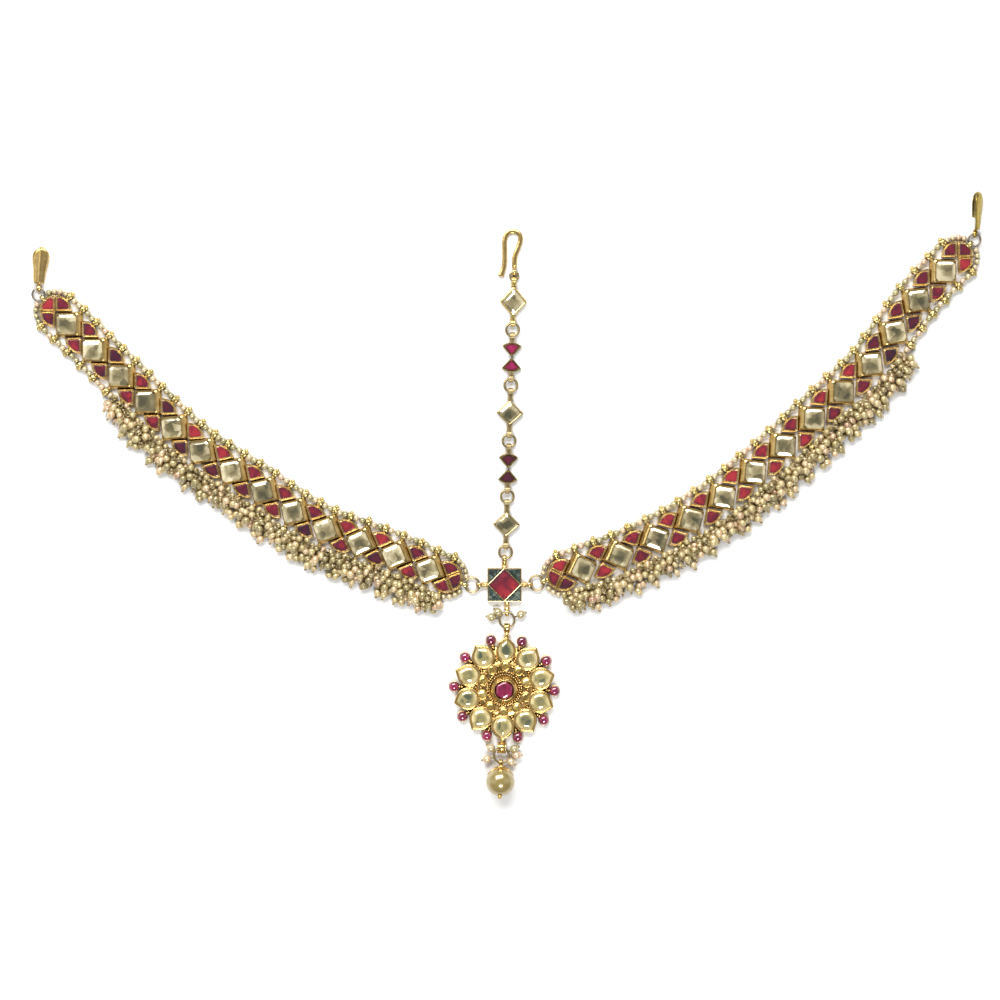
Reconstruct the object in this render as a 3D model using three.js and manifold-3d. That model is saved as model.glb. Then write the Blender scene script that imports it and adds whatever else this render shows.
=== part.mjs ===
import * as THREE from 'three';
import Module from 'manifold-3d';
import { mergeVertices } from 'three/addons/utils/BufferGeometryUtils.js';

const wasm = await Module();
wasm.setup();

// Sizes in millimetres: X to the right, Y up the jewel, Z off the surface that it lies on.

// Flat diamonds of the side bands, set on their corners
const diamondReach = 5.45;       // centre to corner
const diamondRim = 1.7;          // height of the gold wall
const diamondTable = 2.7;        // height of the stone's table
const diamondsPerBand = 13;

// Fan-shaped rubies between them
const fanRadius = 5.2;
const fanHalfAngle = 44;         // degrees
const fanTipOffset = 0.2;        // tip to the band's centre line
const fanRim = 1.5;
const fanBevel = 0.5;

// Edge strings and the pearl fringe under the lower one
const stringOffset = 6.7;        // centre line of the band to that of the string
const stringRadius = 0.9;
const stringLift = 0.95;
const stringSteps = 32;
const stringEnd = 30;            // degrees left open at each end for the eye
const postRadius = 0.6;          // gold post that carries a fan on its string
const bunchLength = 6.4;
const bunchHeight = 3;
const bunchFill = 1.24;          // width of a bunch over the spacing of bunches
const bunchCount = 21;
const stringGap = 0.35;          // bunches to the lower string

// End plates of the bands
const capRadius = 5;
const capRim = 1.5;
const innerEyeReach = 6.5;       // plate's centre to its eye
const outerEyeReach = 5.8;

// Eyes and rings
const eyeRadius = 1.2;
const eyeBore = 0.7;
const eyeWidth = 1.2;
const ringWire = 0.35;
const ringRadius = 2.05;
const pendantRingRadius = 2.4;
const hookRingRadius = 1.35;
const endRingRadius = 1.95;

// Centre chain, from the square up
const chainPitch = 17.8;
const chainTilt = -1.8;          // degrees
const chainLinks = 5;
const chainDiamondReach = 4.5;
const chainFanReach = 4.6;
const hookLegSpacing = 5;        // between the centres of the hair hook's legs
const hookLegShift = -0.8;       // from its eye to the middle between the legs
const hookHeight = 13;
const hookStripWidth = 1.4;
const hookStripThickness = 1;

// Centre square
const squareSide = 10.9;
const squareHeight = 1.9;
const squareStoneReach = 5;
const squareStoneTable = 3;
const topEye = 8.4;              // square's centre to the middle of each eye
const sideEye = 8;
const bottomEye = 8.9;
const bottomShift = 0.8;

// Pendant and its drop
const pendantTilt = -2.5;        // degrees
const bailReach = 19.5;          // pendant's centre to its bail
const tubeReach = 18.9;          // and to the tube below it
const petals = 10;
const petalCentre = 12.4;
const petalWidth = 7.2;
const petalLength = 8.6;
const petalHeight = 2.2;
const petalBevel = 0.6;
const plateRadius = 13.6;
const plateHeight = 1.2;
const outerRubyCentre = 16.1;
const outerRubyRadius = 1.75;
const outerRubyHeight = 2.5;
const innerStoneCentre = 7.4;
const innerStoneRadius = 1.55;
const innerStoneHeight = 2.8;
const saucerRadius = 4.4;
const saucerHeight = 4.1;
const tubeRadius = 1.75;
const tubeBore = 0.9;
const tubeWidth = 2.6;
const tubeLift = 0.1;            // off the surface
const dropEye = 6.5;             // pearl's centre to its eye
const dropPearlRadius = 4.7;

// Small pearls on pins about the pendant's two rings: degrees from the right,
// and distance from the ring's centre in shares of its radius
const smallPearlRadius = 1.25;
const smallPearlPin = 0.3;
const smallPearlGap = 0.8;       // from the drop ring's upper pearls to the rubies above
const pendantRingPearls = [[139, 1.6], [170, 2.12], [22, 2.02]];
const dropRingPearls = [[197, 2], [2, 2.04], [-32, 1.57]];
const dropRingUpperPearls = [-1.46, 1.67];

// Side hooks
const sideHookLength = 13.4;
const sideHookWidth = 5.4;       // at the widest part of the paddle
const sideHookNeck = 3.6;
const sideHookDepth = 2.4;
const sideHookWall = 0.6;
const sideHookTilt = -4;         // degrees from straight up
const sideHookRoll = { left: 0, right: 58 };

// Centre lines of the two bands, from the inner end plate to the outer one
const bandRoutes = {
  left: [[-18.6, 2.5], [-37.7, 10.7], [-60.5, 19.4], [-79.5, 31.7],
    [-99.3, 44.7], [-115.9, 60.2], [-130.7, 74.7], [-143.5, 87.4]],
  right: [[18.7, 3.2], [38.8, 10.5], [61.2, 22.2], [80.9, 37.2],
    [100.5, 55], [117.5, 71.3], [131.8, 91], [144.8, 104.7]],
};

const looks = {
  gold: { color: 0xc9a04e, roughness: 0.3, metalness: 1 },
  paleGold: { color: 0xd8bd7c, roughness: 0.28, metalness: 1 },
  darkGold: { color: 0xa98e55, roughness: 0.35, metalness: 1 },
  diamond: { color: 0xb9b48c, roughness: 0.12, metalness: 0.2 },
  ruby: { color: 0x9c2038, roughness: 0.15, metalness: 0 },
  green: { color: 0x25443a, roughness: 0.3, metalness: 0 },
  pearl: { color: 0xd8c9a2, roughness: 0.3, metalness: 0 },
  goldPearl: { color: 0xc0a469, roughness: 0.25, metalness: 0.1 },
  steel: { color: 0x5c5650, roughness: 0.35, metalness: 1 },
};

const turn = Math.PI / 180;

// Closed geometry to a manifold solid, faces outward
function solid(geometry) {
  const bare = geometry.index ? geometry.toNonIndexed() : geometry.clone();
  bare.deleteAttribute('normal');
  bare.deleteAttribute('uv');
  const merged = mergeVertices(bare, 1e-5);
  const corners = merged.attributes.position.array;
  const faces = [];
  let volume = 0;
  const a = new THREE.Vector3();
  const b = new THREE.Vector3();
  const c = new THREE.Vector3();
  for (let i = 0; i < merged.index.count; i += 3) {
    const [p, q, r] = [0, 1, 2].map((k) => merged.index.getX(i + k));
    if (p === q || q === r || r === p) continue;
    a.fromArray(corners, 3 * p);
    b.fromArray(corners, 3 * q);
    c.fromArray(corners, 3 * r);
    volume += a.dot(b.cross(c));
    faces.push([p, q, r]);
  }
  const outward = volume > 0 ? faces : faces.map(([p, q, r]) => [p, r, q]);
  return new wasm.Manifold(new wasm.Mesh({
    numProp: 3,
    vertProperties: Float32Array.from(corners),
    triVerts: Uint32Array.from(outward.flat()),
  }));
}

function join(geometries) {
  return geometries.map(solid).reduce((whole, piece) => whole.add(piece));
}

function piece(name, shape, look) {
  const mesh = shape.getMesh();
  const geometry = new THREE.BufferGeometry();
  const corners = new Float32Array(mesh.vertProperties);
  geometry.setAttribute('position', new THREE.BufferAttribute(corners, 3));
  geometry.setIndex(new THREE.BufferAttribute(new Uint32Array(mesh.triVerts), 1));
  geometry.computeVertexNormals();
  const node = new THREE.Mesh(geometry, new THREE.MeshStandardMaterial(looks[look]));
  node.name = name;
  return node;
}

function put(node, x, y, z = 0, angle = 0) {
  node.position.set(x, y, z);
  node.rotation.z = angle;
  return node;
}

// Solid of revolution about Z from [radius, height] pairs, first and last on the axis
function turned(profile, sides) {
  const points = profile.map(([r, z]) => new THREE.Vector2(r, z));
  return new THREE.LatheGeometry(points, sides).rotateX(Math.PI / 2);
}

// Short tube with its bore along X, for a ring to pass through
function eye(radius = eyeRadius, bore = eyeBore, width = eyeWidth, sides = 10) {
  const half = width / 2;
  const points = [[bore, -half], [radius, -half], [radius, half], [bore, half], [bore, -half]];
  const section = points.map(([r, z]) => new THREE.Vector2(r, z));
  return new THREE.LatheGeometry(section, sides).rotateZ(Math.PI / 2);
}

function ring(name, radius, wire = ringWire, look = 'darkGold') {
  return piece(name, solid(new THREE.TorusGeometry(radius, wire, 5, 12)), look);
}

function ball(radius, x, y, z) {
  return new THREE.SphereGeometry(radius, 10, 5).translate(x, y, z);
}

// Round bar between two points
function bar(from, to, radius, sides = 6) {
  const start = new THREE.Vector3(...from);
  const end = new THREE.Vector3(...to);
  const along = end.clone().sub(start);
  const shape = new THREE.CylinderGeometry(radius, radius, along.length(), sides);
  const lie = new THREE.Quaternion().setFromUnitVectors(
    new THREE.Vector3(0, 1, 0), along.clone().normalize());
  shape.applyQuaternion(lie);
  const middle = start.add(end).multiplyScalar(0.5);
  return shape.translate(middle.x, middle.y, middle.z);
}

// Square setting on its corner: gold wall, sloping rim, two rows of facets, table
function squareStone(reach, rim, table) {
  return turned([
    [0, 0],
    [reach, 0],
    [reach, rim],
    [reach * 0.84, rim + (table - rim) * 0.3],
    [reach * 0.62, rim + (table - rim) * 0.75],
    [reach * 0.36, table],
    [0, table],
  ], 4);
}

// Round setting with an eight-sided cut stone
function roundStone(radius, floor, rim, table, sides = 8) {
  return turned([
    [0, floor],
    [radius, floor],
    [radius, rim],
    [radius * 0.72, rim + (table - rim) * 0.6],
    [radius * 0.4, table],
    [0, table],
  ], sides);
}

// Sector with its tip at the origin, opening along +Y
function sectorShape(radius, halfAngle, steps) {
  const shape = new THREE.Shape();
  shape.moveTo(0, 0);
  for (let i = 0; i <= steps; i += 1) {
    const angle = (90 - halfAngle + 2 * halfAngle * i / steps) * turn;
    shape.lineTo(radius * Math.cos(angle), radius * Math.sin(angle));
  }
  shape.closePath();
  return shape;
}

// The bevel behind a bevelled piece pressed flat, so that it lies on its whole back
function flatBack(geometry) {
  const corners = geometry.attributes.position;
  for (let i = 0; i < corners.count; i += 1) corners.setZ(i, Math.max(corners.getZ(i), 0));
  return geometry;
}

// Fan ruby: a bevelled sector, the bevel being the stone's ring of facets
function fan(radius, halfAngle, steps = 5) {
  const shape = sectorShape(radius - fanBevel * 1.8, halfAngle, steps);
  return flatBack(new THREE.ExtrudeGeometry(shape, {
    depth: fanRim,
    bevelEnabled: true,
    bevelThickness: fanBevel,
    bevelSize: fanBevel * 0.7,
    bevelSegments: 1,
  })).translate(0, fanBevel * 1.1, 0);
}

function along(path, radius, sides, steps) {
  const section = new THREE.Shape();
  for (let i = 0; i < sides; i += 1) {
    const angle = 2 * Math.PI * (i + 0.5) / sides;
    const [x, y] = [radius * Math.cos(angle), radius * Math.sin(angle)];
    if (i === 0) section.moveTo(x, y);
    else section.lineTo(x, y);
  }
  section.closePath();
  const settings = { steps, extrudePath: path, bevelEnabled: false };
  return new THREE.ExtrudeGeometry(section, settings);
}

// A chain link: the stone's body with a stud and an eye above and below
function chainLink(name, bodies, reach, look) {
  const half = chainPitch / 2 - ringRadius;
  const parts = [...bodies];
  for (const side of [1, -1]) {
    const inner = side * (reach - 0.6);
    const outer = side * (half - eyeRadius + 0.3);
    parts.push(bar([0, inner, eyeRadius], [0, outer, eyeRadius], 0.85, 8));
    parts.push(eye().translate(0, side * half, eyeRadius));
  }
  return piece(name, join(parts), look);
}

function centreChain() {
  const chain = new THREE.Group();
  chain.rotation.z = chainTilt * turn;
  for (let i = 0; i < chainLinks; i += 1) {
    const y = topEye + ringRadius + chainPitch * i;
    const number = chainLinks - i;
    chain.add(put(ring(`chain_ring_${number}`, ringRadius), 0, y, eyeRadius));
    const middle = y + chainPitch / 2;
    if (i % 2 === 0) {
      const body = squareStone(chainDiamondReach, diamondRim, diamondTable);
      const name = `chain_diamond_${(number + 1) / 2}`;
      chain.add(put(chainLink(name, [body], chainDiamondReach, 'diamond'), 0, middle));
    } else {
      const upper = fan(chainFanReach + 0.5, 42).translate(0, -0.5, 0);
      const lower = fan(chainFanReach + 0.5, 42).translate(0, -0.5, 0).rotateZ(Math.PI);
      const waist = new THREE.BoxGeometry(1.2, 1.4, 1.4).translate(0, 0, 0.8);
      const bodies = [upper, lower, waist];
      const name = `chain_ruby_${number / 2}`;
      chain.add(put(chainLink(name, bodies, chainFanReach, 'ruby'), 0, middle));
    }
  }
  const top = topEye + chainPitch * chainLinks + hookRingRadius;
  chain.add(put(ring('hook_ring', hookRingRadius, 0.3), 0, top, eyeRadius));
  chain.add(put(hairHook(), 0, top + hookRingRadius, eyeRadius));
  return chain;
}

// Flat strip bent into a narrow arch: a long leg to the eye and a free leg with a flared tip
function hairHook() {
  const x = hookLegSpacing / 2;
  const top = hookHeight - x;
  const start = eyeRadius + 0.2;
  const v = (px, py) => new THREE.Vector3(px, py, 0);
  const arch = [
    v(x * 0.88, top * 0.86), v(x, top), v(x * 0.72, top + x * 0.72), v(0, top + x),
    v(-x * 0.72, top + x * 0.72), v(-x, top), v(-x, top * 0.6), v(-x, top * 0.24),
    v(-x * 1.4, 0),
  ].map((p) => p.add(v(hookLegShift, 0)));
  const line = new THREE.CatmullRomCurve3(
    [v(0, start), v(0, top * 0.45), ...arch], false, 'centripetal');
  const [w, h] = [hookStripWidth / 2, hookStripThickness / 2];
  const section = new THREE.Shape();
  section.moveTo(-h, -w * 0.7);
  section.lineTo(-h, w * 0.7);
  section.lineTo(0, w);
  section.lineTo(h, w * 0.7);
  section.lineTo(h, -w * 0.7);
  section.lineTo(0, -w);
  section.closePath();
  const settings = { steps: 22, extrudePath: line, bevelEnabled: false };
  const strip = new THREE.ExtrudeGeometry(section, settings).translate(0, 0, -h);
  const neck = bar([0, eyeRadius - 0.4, 0], [0, start + 1, -h * 0.6], h * 1.2, 8);
  return piece('hair_hook', join([strip, neck, eye()]), 'gold');
}

function centreSquare() {
  const half = squareSide / 2;
  const plate = new THREE.BoxGeometry(squareSide, squareSide, squareHeight);
  const parts = [
    plate.translate(0, 0, squareHeight / 2),
    squareStone(squareStoneReach, squareHeight + 0.3, squareStoneTable),
  ];
  const arms = [
    { angle: 0, reach: topEye, shift: 0 },
    { angle: 90, reach: sideEye, shift: 0 },
    { angle: 180, reach: bottomEye, shift: -bottomShift },
    { angle: 270, reach: sideEye, shift: 0 },
  ];
  for (const { angle, reach, shift } of arms) {
    const end = reach - eyeBore - 0.15;
    const stud = bar([shift, half - 0.5, eyeRadius], [shift, end, eyeRadius], 0.85, 8);
    parts.push(stud.rotateZ(angle * turn));
    parts.push(eye().translate(shift, reach, eyeRadius).rotateZ(angle * turn));
  }
  return piece('centre_square', join(parts), 'green');
}

// Pearl's place from its ring's centre, by its angle and share of the ring's radius
function aboutRing([degrees, share]) {
  const distance = share * pendantRingRadius;
  return [distance * Math.cos(degrees * turn), distance * Math.sin(degrees * turn)];
}

// Ring with small pearls on short pins
function pearledRing(name, height, pearls) {
  const parts = [new THREE.TorusGeometry(pendantRingRadius, ringWire, 5, 12)];
  for (const [x, y] of pearls) {
    const share = pendantRingRadius / Math.hypot(x, y);
    parts.push(bar([x * share, y * share, 0], [x, y, 0], smallPearlPin));
    parts.push(ball(smallPearlRadius, x, y, 0));
  }
  return piece(name, join(parts).translate([0, 0, height]), 'darkGold');
}

// Pear outline with its point along +Y, in shares of the width and length
function petalShape(width, length) {
  const half = [
    [0, 0.5], [0.34, 0.2], [0.48, -0.1], [0.28, -0.44],
  ];
  const right = half.map(([x, y]) => new THREE.Vector2(x * width, y * length));
  const left = half.slice(1).reverse();
  return new THREE.Shape([
    ...right,
    ...left.map(([x, y]) => new THREE.Vector2(-x * width, y * length)),
  ]);
}

function petal() {
  const shape = petalShape(petalWidth - petalBevel, petalLength - petalBevel);
  return flatBack(new THREE.ExtrudeGeometry(shape, {
    depth: petalHeight - petalBevel,
    bevelEnabled: true,
    bevelThickness: petalBevel,
    bevelSize: petalBevel / 2,
    bevelSegments: 1,
  }));
}

function pendant() {
  const plate = [[0, 0], [plateRadius, 0], [plateRadius, plateHeight], [0, plateHeight]];
  const parts = [turned(plate, 20)];
  const step = 360 / petals;
  const bed = plateHeight / 3;
  const stemRadius = outerRubyRadius * 0.4;
  for (let i = 0; i < petals; i += 1) {
    const stone = petal().translate(0, petalCentre, 0);
    parts.push(stone.rotateZ(i * step * turn));
    const innerRim = innerStoneHeight * 0.75;
    const inner = roundStone(innerStoneRadius, bed, innerRim, innerStoneHeight);
    parts.push(inner.translate(0, innerStoneCentre, 0).rotateZ(i * step * turn));
    const ruby = roundStone(outerRubyRadius, 0, outerRubyHeight * 0.68, outerRubyHeight);
    parts.push(ruby.translate(0, outerRubyCentre, 0).rotateZ((i + 0.5) * step * turn));
    const stem = bar([0, plateRadius - stemRadius, stemRadius],
      [0, outerRubyCentre - stemRadius, stemRadius], stemRadius, 4);
    parts.push(stem.rotateZ((i + 0.5) * step * turn));
  }
  parts.push(turned([
    [0, 0.1], [1, 0.1], [1, 0.58], [0.8, 0.68], [0.78, 0.83], [0.66, 0.83], [0.56, 0.9],
    [0.3, 1], [0, 1],
  ].map(([r, z]) => [r * saucerRadius, z * saucerHeight]), 16));
  const tip = petalCentre + petalLength / 2;
  const seat = petalLength * 0.14;
  parts.push(bar([0, tip - seat, eyeRadius],
    [0, bailReach - eyeBore - 0.15, eyeRadius], eyeBore + 0.15, 8));
  parts.push(eye().translate(0, bailReach, eyeRadius));
  const tubeAxis = tubeRadius + tubeLift;
  parts.push(bar([0, seat - tip, eyeRadius],
    [0, tubeBore + 0.15 - tubeReach, tubeAxis * 0.87], tubeRadius * 0.4, 8));
  parts.push(eye(tubeRadius, tubeBore, tubeWidth, 12).translate(0, -tubeReach, tubeAxis));
  return piece('pendant', join(parts), 'gold');
}

// Large pearl with its cap, eye and end ball, leaning from the ring's height to its own
function dropPearl() {
  const profile = [[0, -dropPearlRadius - 1.3], [0.6, -dropPearlRadius - 0.95]];
  profile.push([0.6, -dropPearlRadius - 0.4]);
  for (const degrees of [-82, -65, -45, -22, 0, 22, 42]) {
    const angle = degrees * turn;
    profile.push([dropPearlRadius * Math.cos(angle), dropPearlRadius * Math.sin(angle)]);
  }
  profile.push([dropPearlRadius * 0.76, dropPearlRadius * 0.68]);
  profile.push([dropPearlRadius * 0.45, dropPearlRadius * 0.98]);
  profile.push([0.6, dropPearlRadius + 0.45]);
  profile.push([0.6, dropEye - eyeBore - 0.1], [0, dropEye - eyeBore - 0.1]);
  const body = new THREE.LatheGeometry(profile.map(([r, y]) => new THREE.Vector2(r, y)), 14);
  const lean = Math.asin((dropPearlRadius - tubeRadius - tubeLift) / dropEye);
  const shape = join([body, eye().translate(0, dropEye, 0)]);
  const node = piece('drop_pearl', shape, 'goldPearl');
  node.rotation.x = -lean;
  node.position.set(0, -dropEye * Math.cos(lean), dropPearlRadius);
  return node;
}

function pendantGroup() {
  const group = new THREE.Group();
  const ringCentre = -bottomEye - pendantRingRadius;
  const upperRing = pearledRing('pendant_ring', eyeRadius, pendantRingPearls.map(aboutRing));
  group.add(put(upperRing, bottomShift, ringCentre));
  const hanging = put(new THREE.Group(), bottomShift, ringCentre - pendantRingRadius);
  hanging.rotation.z = pendantTilt * turn;
  hanging.add(put(pendant(), 0, -bailReach));
  const dropCentre = -bailReach - tubeReach - pendantRingRadius;
  const rubyEdge = -bailReach - outerRubyCentre * Math.cos(Math.PI / petals) - outerRubyRadius;
  const upperPearls = rubyEdge - smallPearlGap - smallPearlRadius - dropCentre;
  hanging.add(put(pearledRing('drop_ring', tubeRadius + tubeLift, [
    ...dropRingPearls.map(aboutRing),
    ...dropRingUpperPearls.map((share) => [share * pendantRingRadius, upperPearls]),
  ]), 0, dropCentre));
  hanging.add(new THREE.Group().add(dropPearl()).translateY(dropCentre - pendantRingRadius));
  return group.add(hanging);
}

// Folded strip seen from the side, front leg full length and back leg shorter,
// trimmed to the paddle outline seen from the front
function sideHook(name, roll) {
  const [d, w, top] = [sideHookDepth / 2, sideHookWall, sideHookLength];
  const side = new THREE.Shape();
  side.moveTo(1.3, d);
  side.lineTo(top - d, d);
  side.lineTo(top - d * 0.3, d * 0.7);
  side.lineTo(top, 0);
  side.lineTo(top - d * 0.3, -d * 0.7);
  side.lineTo(top - d, -d);
  side.lineTo(top * 0.36, -d);
  side.lineTo(top * 0.36, -d + w);
  side.lineTo(top - d, -d + w);
  side.lineTo(top - d + (d - w) * 0.8, 0);
  side.lineTo(top - d, d - w);
  side.lineTo(1.3, d - w);
  side.closePath();
  const across = sideHookWidth * 1.5;
  const strip = new THREE.ExtrudeGeometry(side, { depth: across, bevelEnabled: false });
  strip.translate(0, 0, -across / 2).applyMatrix4(new THREE.Matrix4().makeBasis(
    new THREE.Vector3(0, 1, 0), new THREE.Vector3(0, 0, 1), new THREE.Vector3(1, 0, 0)));
  const [neckHalf, half] = [sideHookNeck / 2, sideHookWidth / 2];
  const widths = [
    [0.075, neckHalf * 0.9], [0.18, neckHalf], [0.45, (2 * neckHalf + half) / 3],
    [0.67, half], [0.866, half * 0.98], [0.97, half * 0.64], [1.015, half * 0.34],
  ];
  const outline = new THREE.Shape([
    ...widths.map(([y, x]) => new THREE.Vector2(x, y * top)),
    ...widths.reverse().map(([y, x]) => new THREE.Vector2(-x, y * top)),
  ]);
  const through = sideHookDepth * 1.6;
  const paddle = new THREE.ExtrudeGeometry(outline, { depth: through, bevelEnabled: false });
  const shape = solid(strip).intersect(solid(paddle.translate(0, 0, -through / 2)));
  const angle = roll * turn;
  const lift = Math.abs(Math.sin(angle)) * half + Math.cos(angle) * d - d;
  const foot = (d - w / 2);
  const rolled = shape.rotate([0, roll, 0]).translate([0, 0, lift]);
  const neck = bar([0, eyeRadius - 0.4, 0],
    [foot * Math.sin(angle), eyeRadius + 0.8, foot * Math.cos(angle) + lift], 0.55, 8);
  const whole = rolled.add(solid(neck)).add(solid(eye()));
  return piece(name, whole, 'gold');
}

// One side band, its pieces placed square to the centre line at even spacing
function band(side) {
  const group = new THREE.Group();
  const points = bandRoutes[side].map(([x, y]) => new THREE.Vector3(x, y, 0));
  const route = new THREE.CatmullRomCurve3(points, false, 'centripetal');
  route.arcLengthDivisions = 400;
  const stations = 2 * diamondsPerBand;
  const spacing = route.getLength() / stations;

  function station(index) {
    const share = Math.min(Math.max(index / stations, 0), 1);
    const at = route.getPointAt(share);
    const out = route.getTangentAt(share).normalize();
    const up = new THREE.Vector3(-out.y, out.x, 0).multiplyScalar(Math.sign(out.x));
    return { at, out, up, angle: Math.atan2(up.y, up.x) - Math.PI / 2 };
  }

  function offset(index, distance) {
    const { at, up } = station(index);
    return at.clone().addScaledVector(up, distance);
  }

  // Point on the circle about an end plate, degrees from the way that its eye points
  function around(index, degrees, distance, below) {
    const { at, out, up } = station(index);
    const away = out.clone().multiplyScalar(index === 0 ? -1 : 1);
    return at.clone()
      .addScaledVector(away, distance * Math.cos(degrees * turn))
      .addScaledVector(up, below * distance * Math.sin(degrees * turn));
  }

  function placed(geometry, index) {
    const { at, angle } = station(index);
    return geometry.rotateZ(angle).translate(at.x, at.y, 0);
  }

  function row(name, sign) {
    const line = [];
    for (const degrees of [stringEnd, 50, 70]) {
      line.push(around(0, degrees, stringOffset, sign));
    }
    for (let i = 0; i <= stations; i += 1) line.push(offset(i, sign * stringOffset));
    for (const degrees of [70, 50, stringEnd]) {
      line.push(around(stations, degrees, stringOffset, sign));
    }
    const path = new THREE.CatmullRomCurve3(line, false, 'centripetal');
    const parts = [along(path, stringRadius, 8, stringSteps).translate(0, 0, stringLift)];
    for (let i = 2; i < stations; i += 2) {
      const ruby = fan(fanRadius, fanHalfAngle).translate(0, fanTipOffset, 0);
      const post = bar([0, fanRadius - 0.6, stringLift], [0, stringOffset, stringLift], postRadius, 4);
      for (const shape of [ruby, post]) {
        if (sign < 0) shape.rotateZ(Math.PI);
        parts.push(placed(shape, i));
      }
    }
    return piece(name, join(parts), 'ruby');
  }

  function cap(name, index, eyeReach) {
    const base = new THREE.ExtrudeGeometry(sectorShape(capRadius, 134, 15), {
      depth: capRim, bevelEnabled: false,
    }).translate(0, fanTipOffset, 0);
    const parts = [base];
    for (const degrees of [-90, 0, 90]) {
      const ruby = fan(capRadius - 1.1, 41).translate(0, 0.6, 0);
      parts.push(ruby.rotateZ(degrees * turn));
    }
    parts.push(bar([0, capRadius - 0.4, eyeRadius], [0, eyeReach - 0.85, eyeRadius], 0.8, 8));
    parts.push(eye().translate(0, eyeReach, eyeRadius));
    const { at, out } = station(index);
    const facing = out.clone().multiplyScalar(index === 0 ? -1 : 1);
    const angle = Math.atan2(facing.y, facing.x) - Math.PI / 2;
    group.add(put(piece(name, join(parts), 'ruby'), at.x, at.y, 0, angle));
    return at.clone().addScaledVector(facing, eyeReach);
  }

  for (let i = 0; i < diamondsPerBand; i += 1) {
    const { at, angle } = station(2 * i + 1);
    const stone = squareStone(diamondReach, diamondRim, diamondTable);
    const number = String(i + 1).padStart(2, '0');
    group.add(put(piece(`${side}_diamond_${number}`, solid(stone), 'diamond'), at.x, at.y, 0, angle));
  }
  group.add(row(`${side}_upper_row`, 1), row(`${side}_lower_row`, -1));

  const bunchOffset = stringOffset + stringRadius + stringGap + bunchLength / 2;
  const bunches = [];
  for (let i = 0; i < bunchCount; i += 1) {
    const bunch = new THREE.SphereGeometry(1, 8, 4);
    bunch.scale(bunchFill * spacing / 2, bunchLength / 2, bunchHeight / 2);
    bunches.push(placed(bunch.translate(0, -bunchOffset, bunchHeight / 2), i));
  }
  group.add(piece(`${side}_fringe`, join(bunches), 'pearl'));

  const inner = cap(`${side}_inner_cap`, 0, innerEyeReach);
  const squareEye = new THREE.Vector3(side === 'left' ? -sideEye : sideEye, 0, 0);
  const middle = inner.clone().add(squareEye).multiplyScalar(0.5);
  const jointRadius = inner.distanceTo(squareEye) / 2;
  group.add(put(ring(`${side}_joint_ring`, jointRadius), middle.x, middle.y, eyeRadius));

  const outer = cap(`${side}_outer_cap`, stations, outerEyeReach);
  const ringCentre = outer.addScaledVector(station(stations).out, endRingRadius);
  const endRing = ring(`${side}_end_ring`, endRingRadius, ringWire, 'steel');
  group.add(put(endRing, ringCentre.x, ringCentre.y, eyeRadius));
  const lean = sideHookTilt * turn;
  const hook = sideHook(`${side}_side_hook`, sideHookRoll[side]);
  const hookX = ringCentre.x - endRingRadius * Math.sin(lean);
  const hookY = ringCentre.y + endRingRadius * Math.cos(lean);
  group.add(put(hook, hookX, hookY, eyeRadius, lean));
  return group;
}

const mathaPatti = new THREE.Group();
mathaPatti.add(centreChain(), centreSquare(), pendantGroup(), band('left'), band('right'));

export default mathaPatti;
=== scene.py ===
import bpy
import numpy as np
from mathutils import Euler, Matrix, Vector


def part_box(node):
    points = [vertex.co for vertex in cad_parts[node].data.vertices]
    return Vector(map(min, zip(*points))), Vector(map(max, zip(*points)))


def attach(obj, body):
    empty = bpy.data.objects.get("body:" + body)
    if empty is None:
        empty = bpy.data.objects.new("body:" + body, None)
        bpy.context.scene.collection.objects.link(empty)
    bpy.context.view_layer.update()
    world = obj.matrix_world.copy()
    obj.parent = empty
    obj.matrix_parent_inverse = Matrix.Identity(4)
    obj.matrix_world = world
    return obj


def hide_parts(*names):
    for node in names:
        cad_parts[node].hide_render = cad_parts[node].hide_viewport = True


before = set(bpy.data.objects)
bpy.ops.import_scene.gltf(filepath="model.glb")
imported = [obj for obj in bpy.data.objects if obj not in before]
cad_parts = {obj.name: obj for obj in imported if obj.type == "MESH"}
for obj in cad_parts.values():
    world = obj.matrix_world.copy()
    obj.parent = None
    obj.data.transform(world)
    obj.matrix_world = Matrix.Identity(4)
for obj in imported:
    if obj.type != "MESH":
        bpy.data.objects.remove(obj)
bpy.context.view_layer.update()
print("frame loaded:", len(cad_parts), "nodes")

mm = 0.001
degree = np.pi / 180
seeded = np.random.default_rng(11)
vary = seeded.uniform


# new object put in the scene
def addObject(name, data):
    made = bpy.data.objects.new(name, data)
    bpy.context.scene.collection.objects.link(made)
    return made


# camera straight above the jewel, with a long lens, framed as the photo is
view = {"lens": 135, "height": 1.2, "middle": (-1.44 * mm, 27.1 * mm), "nearest": 0.01}
cameraData = bpy.data.cameras.new("camera")
cameraData.lens = view["lens"]
cameraData.clip_start = view["nearest"]
camera = addObject("camera", cameraData)
camera.location = (*view["middle"], view["height"])
bpy.context.scene.camera = camera
bpy.context.scene.view_settings.view_transform = "Standard"
print("camera placed")


# Surfaces: a shape is its points, quads and triangles, and once toned a tone for each point

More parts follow.
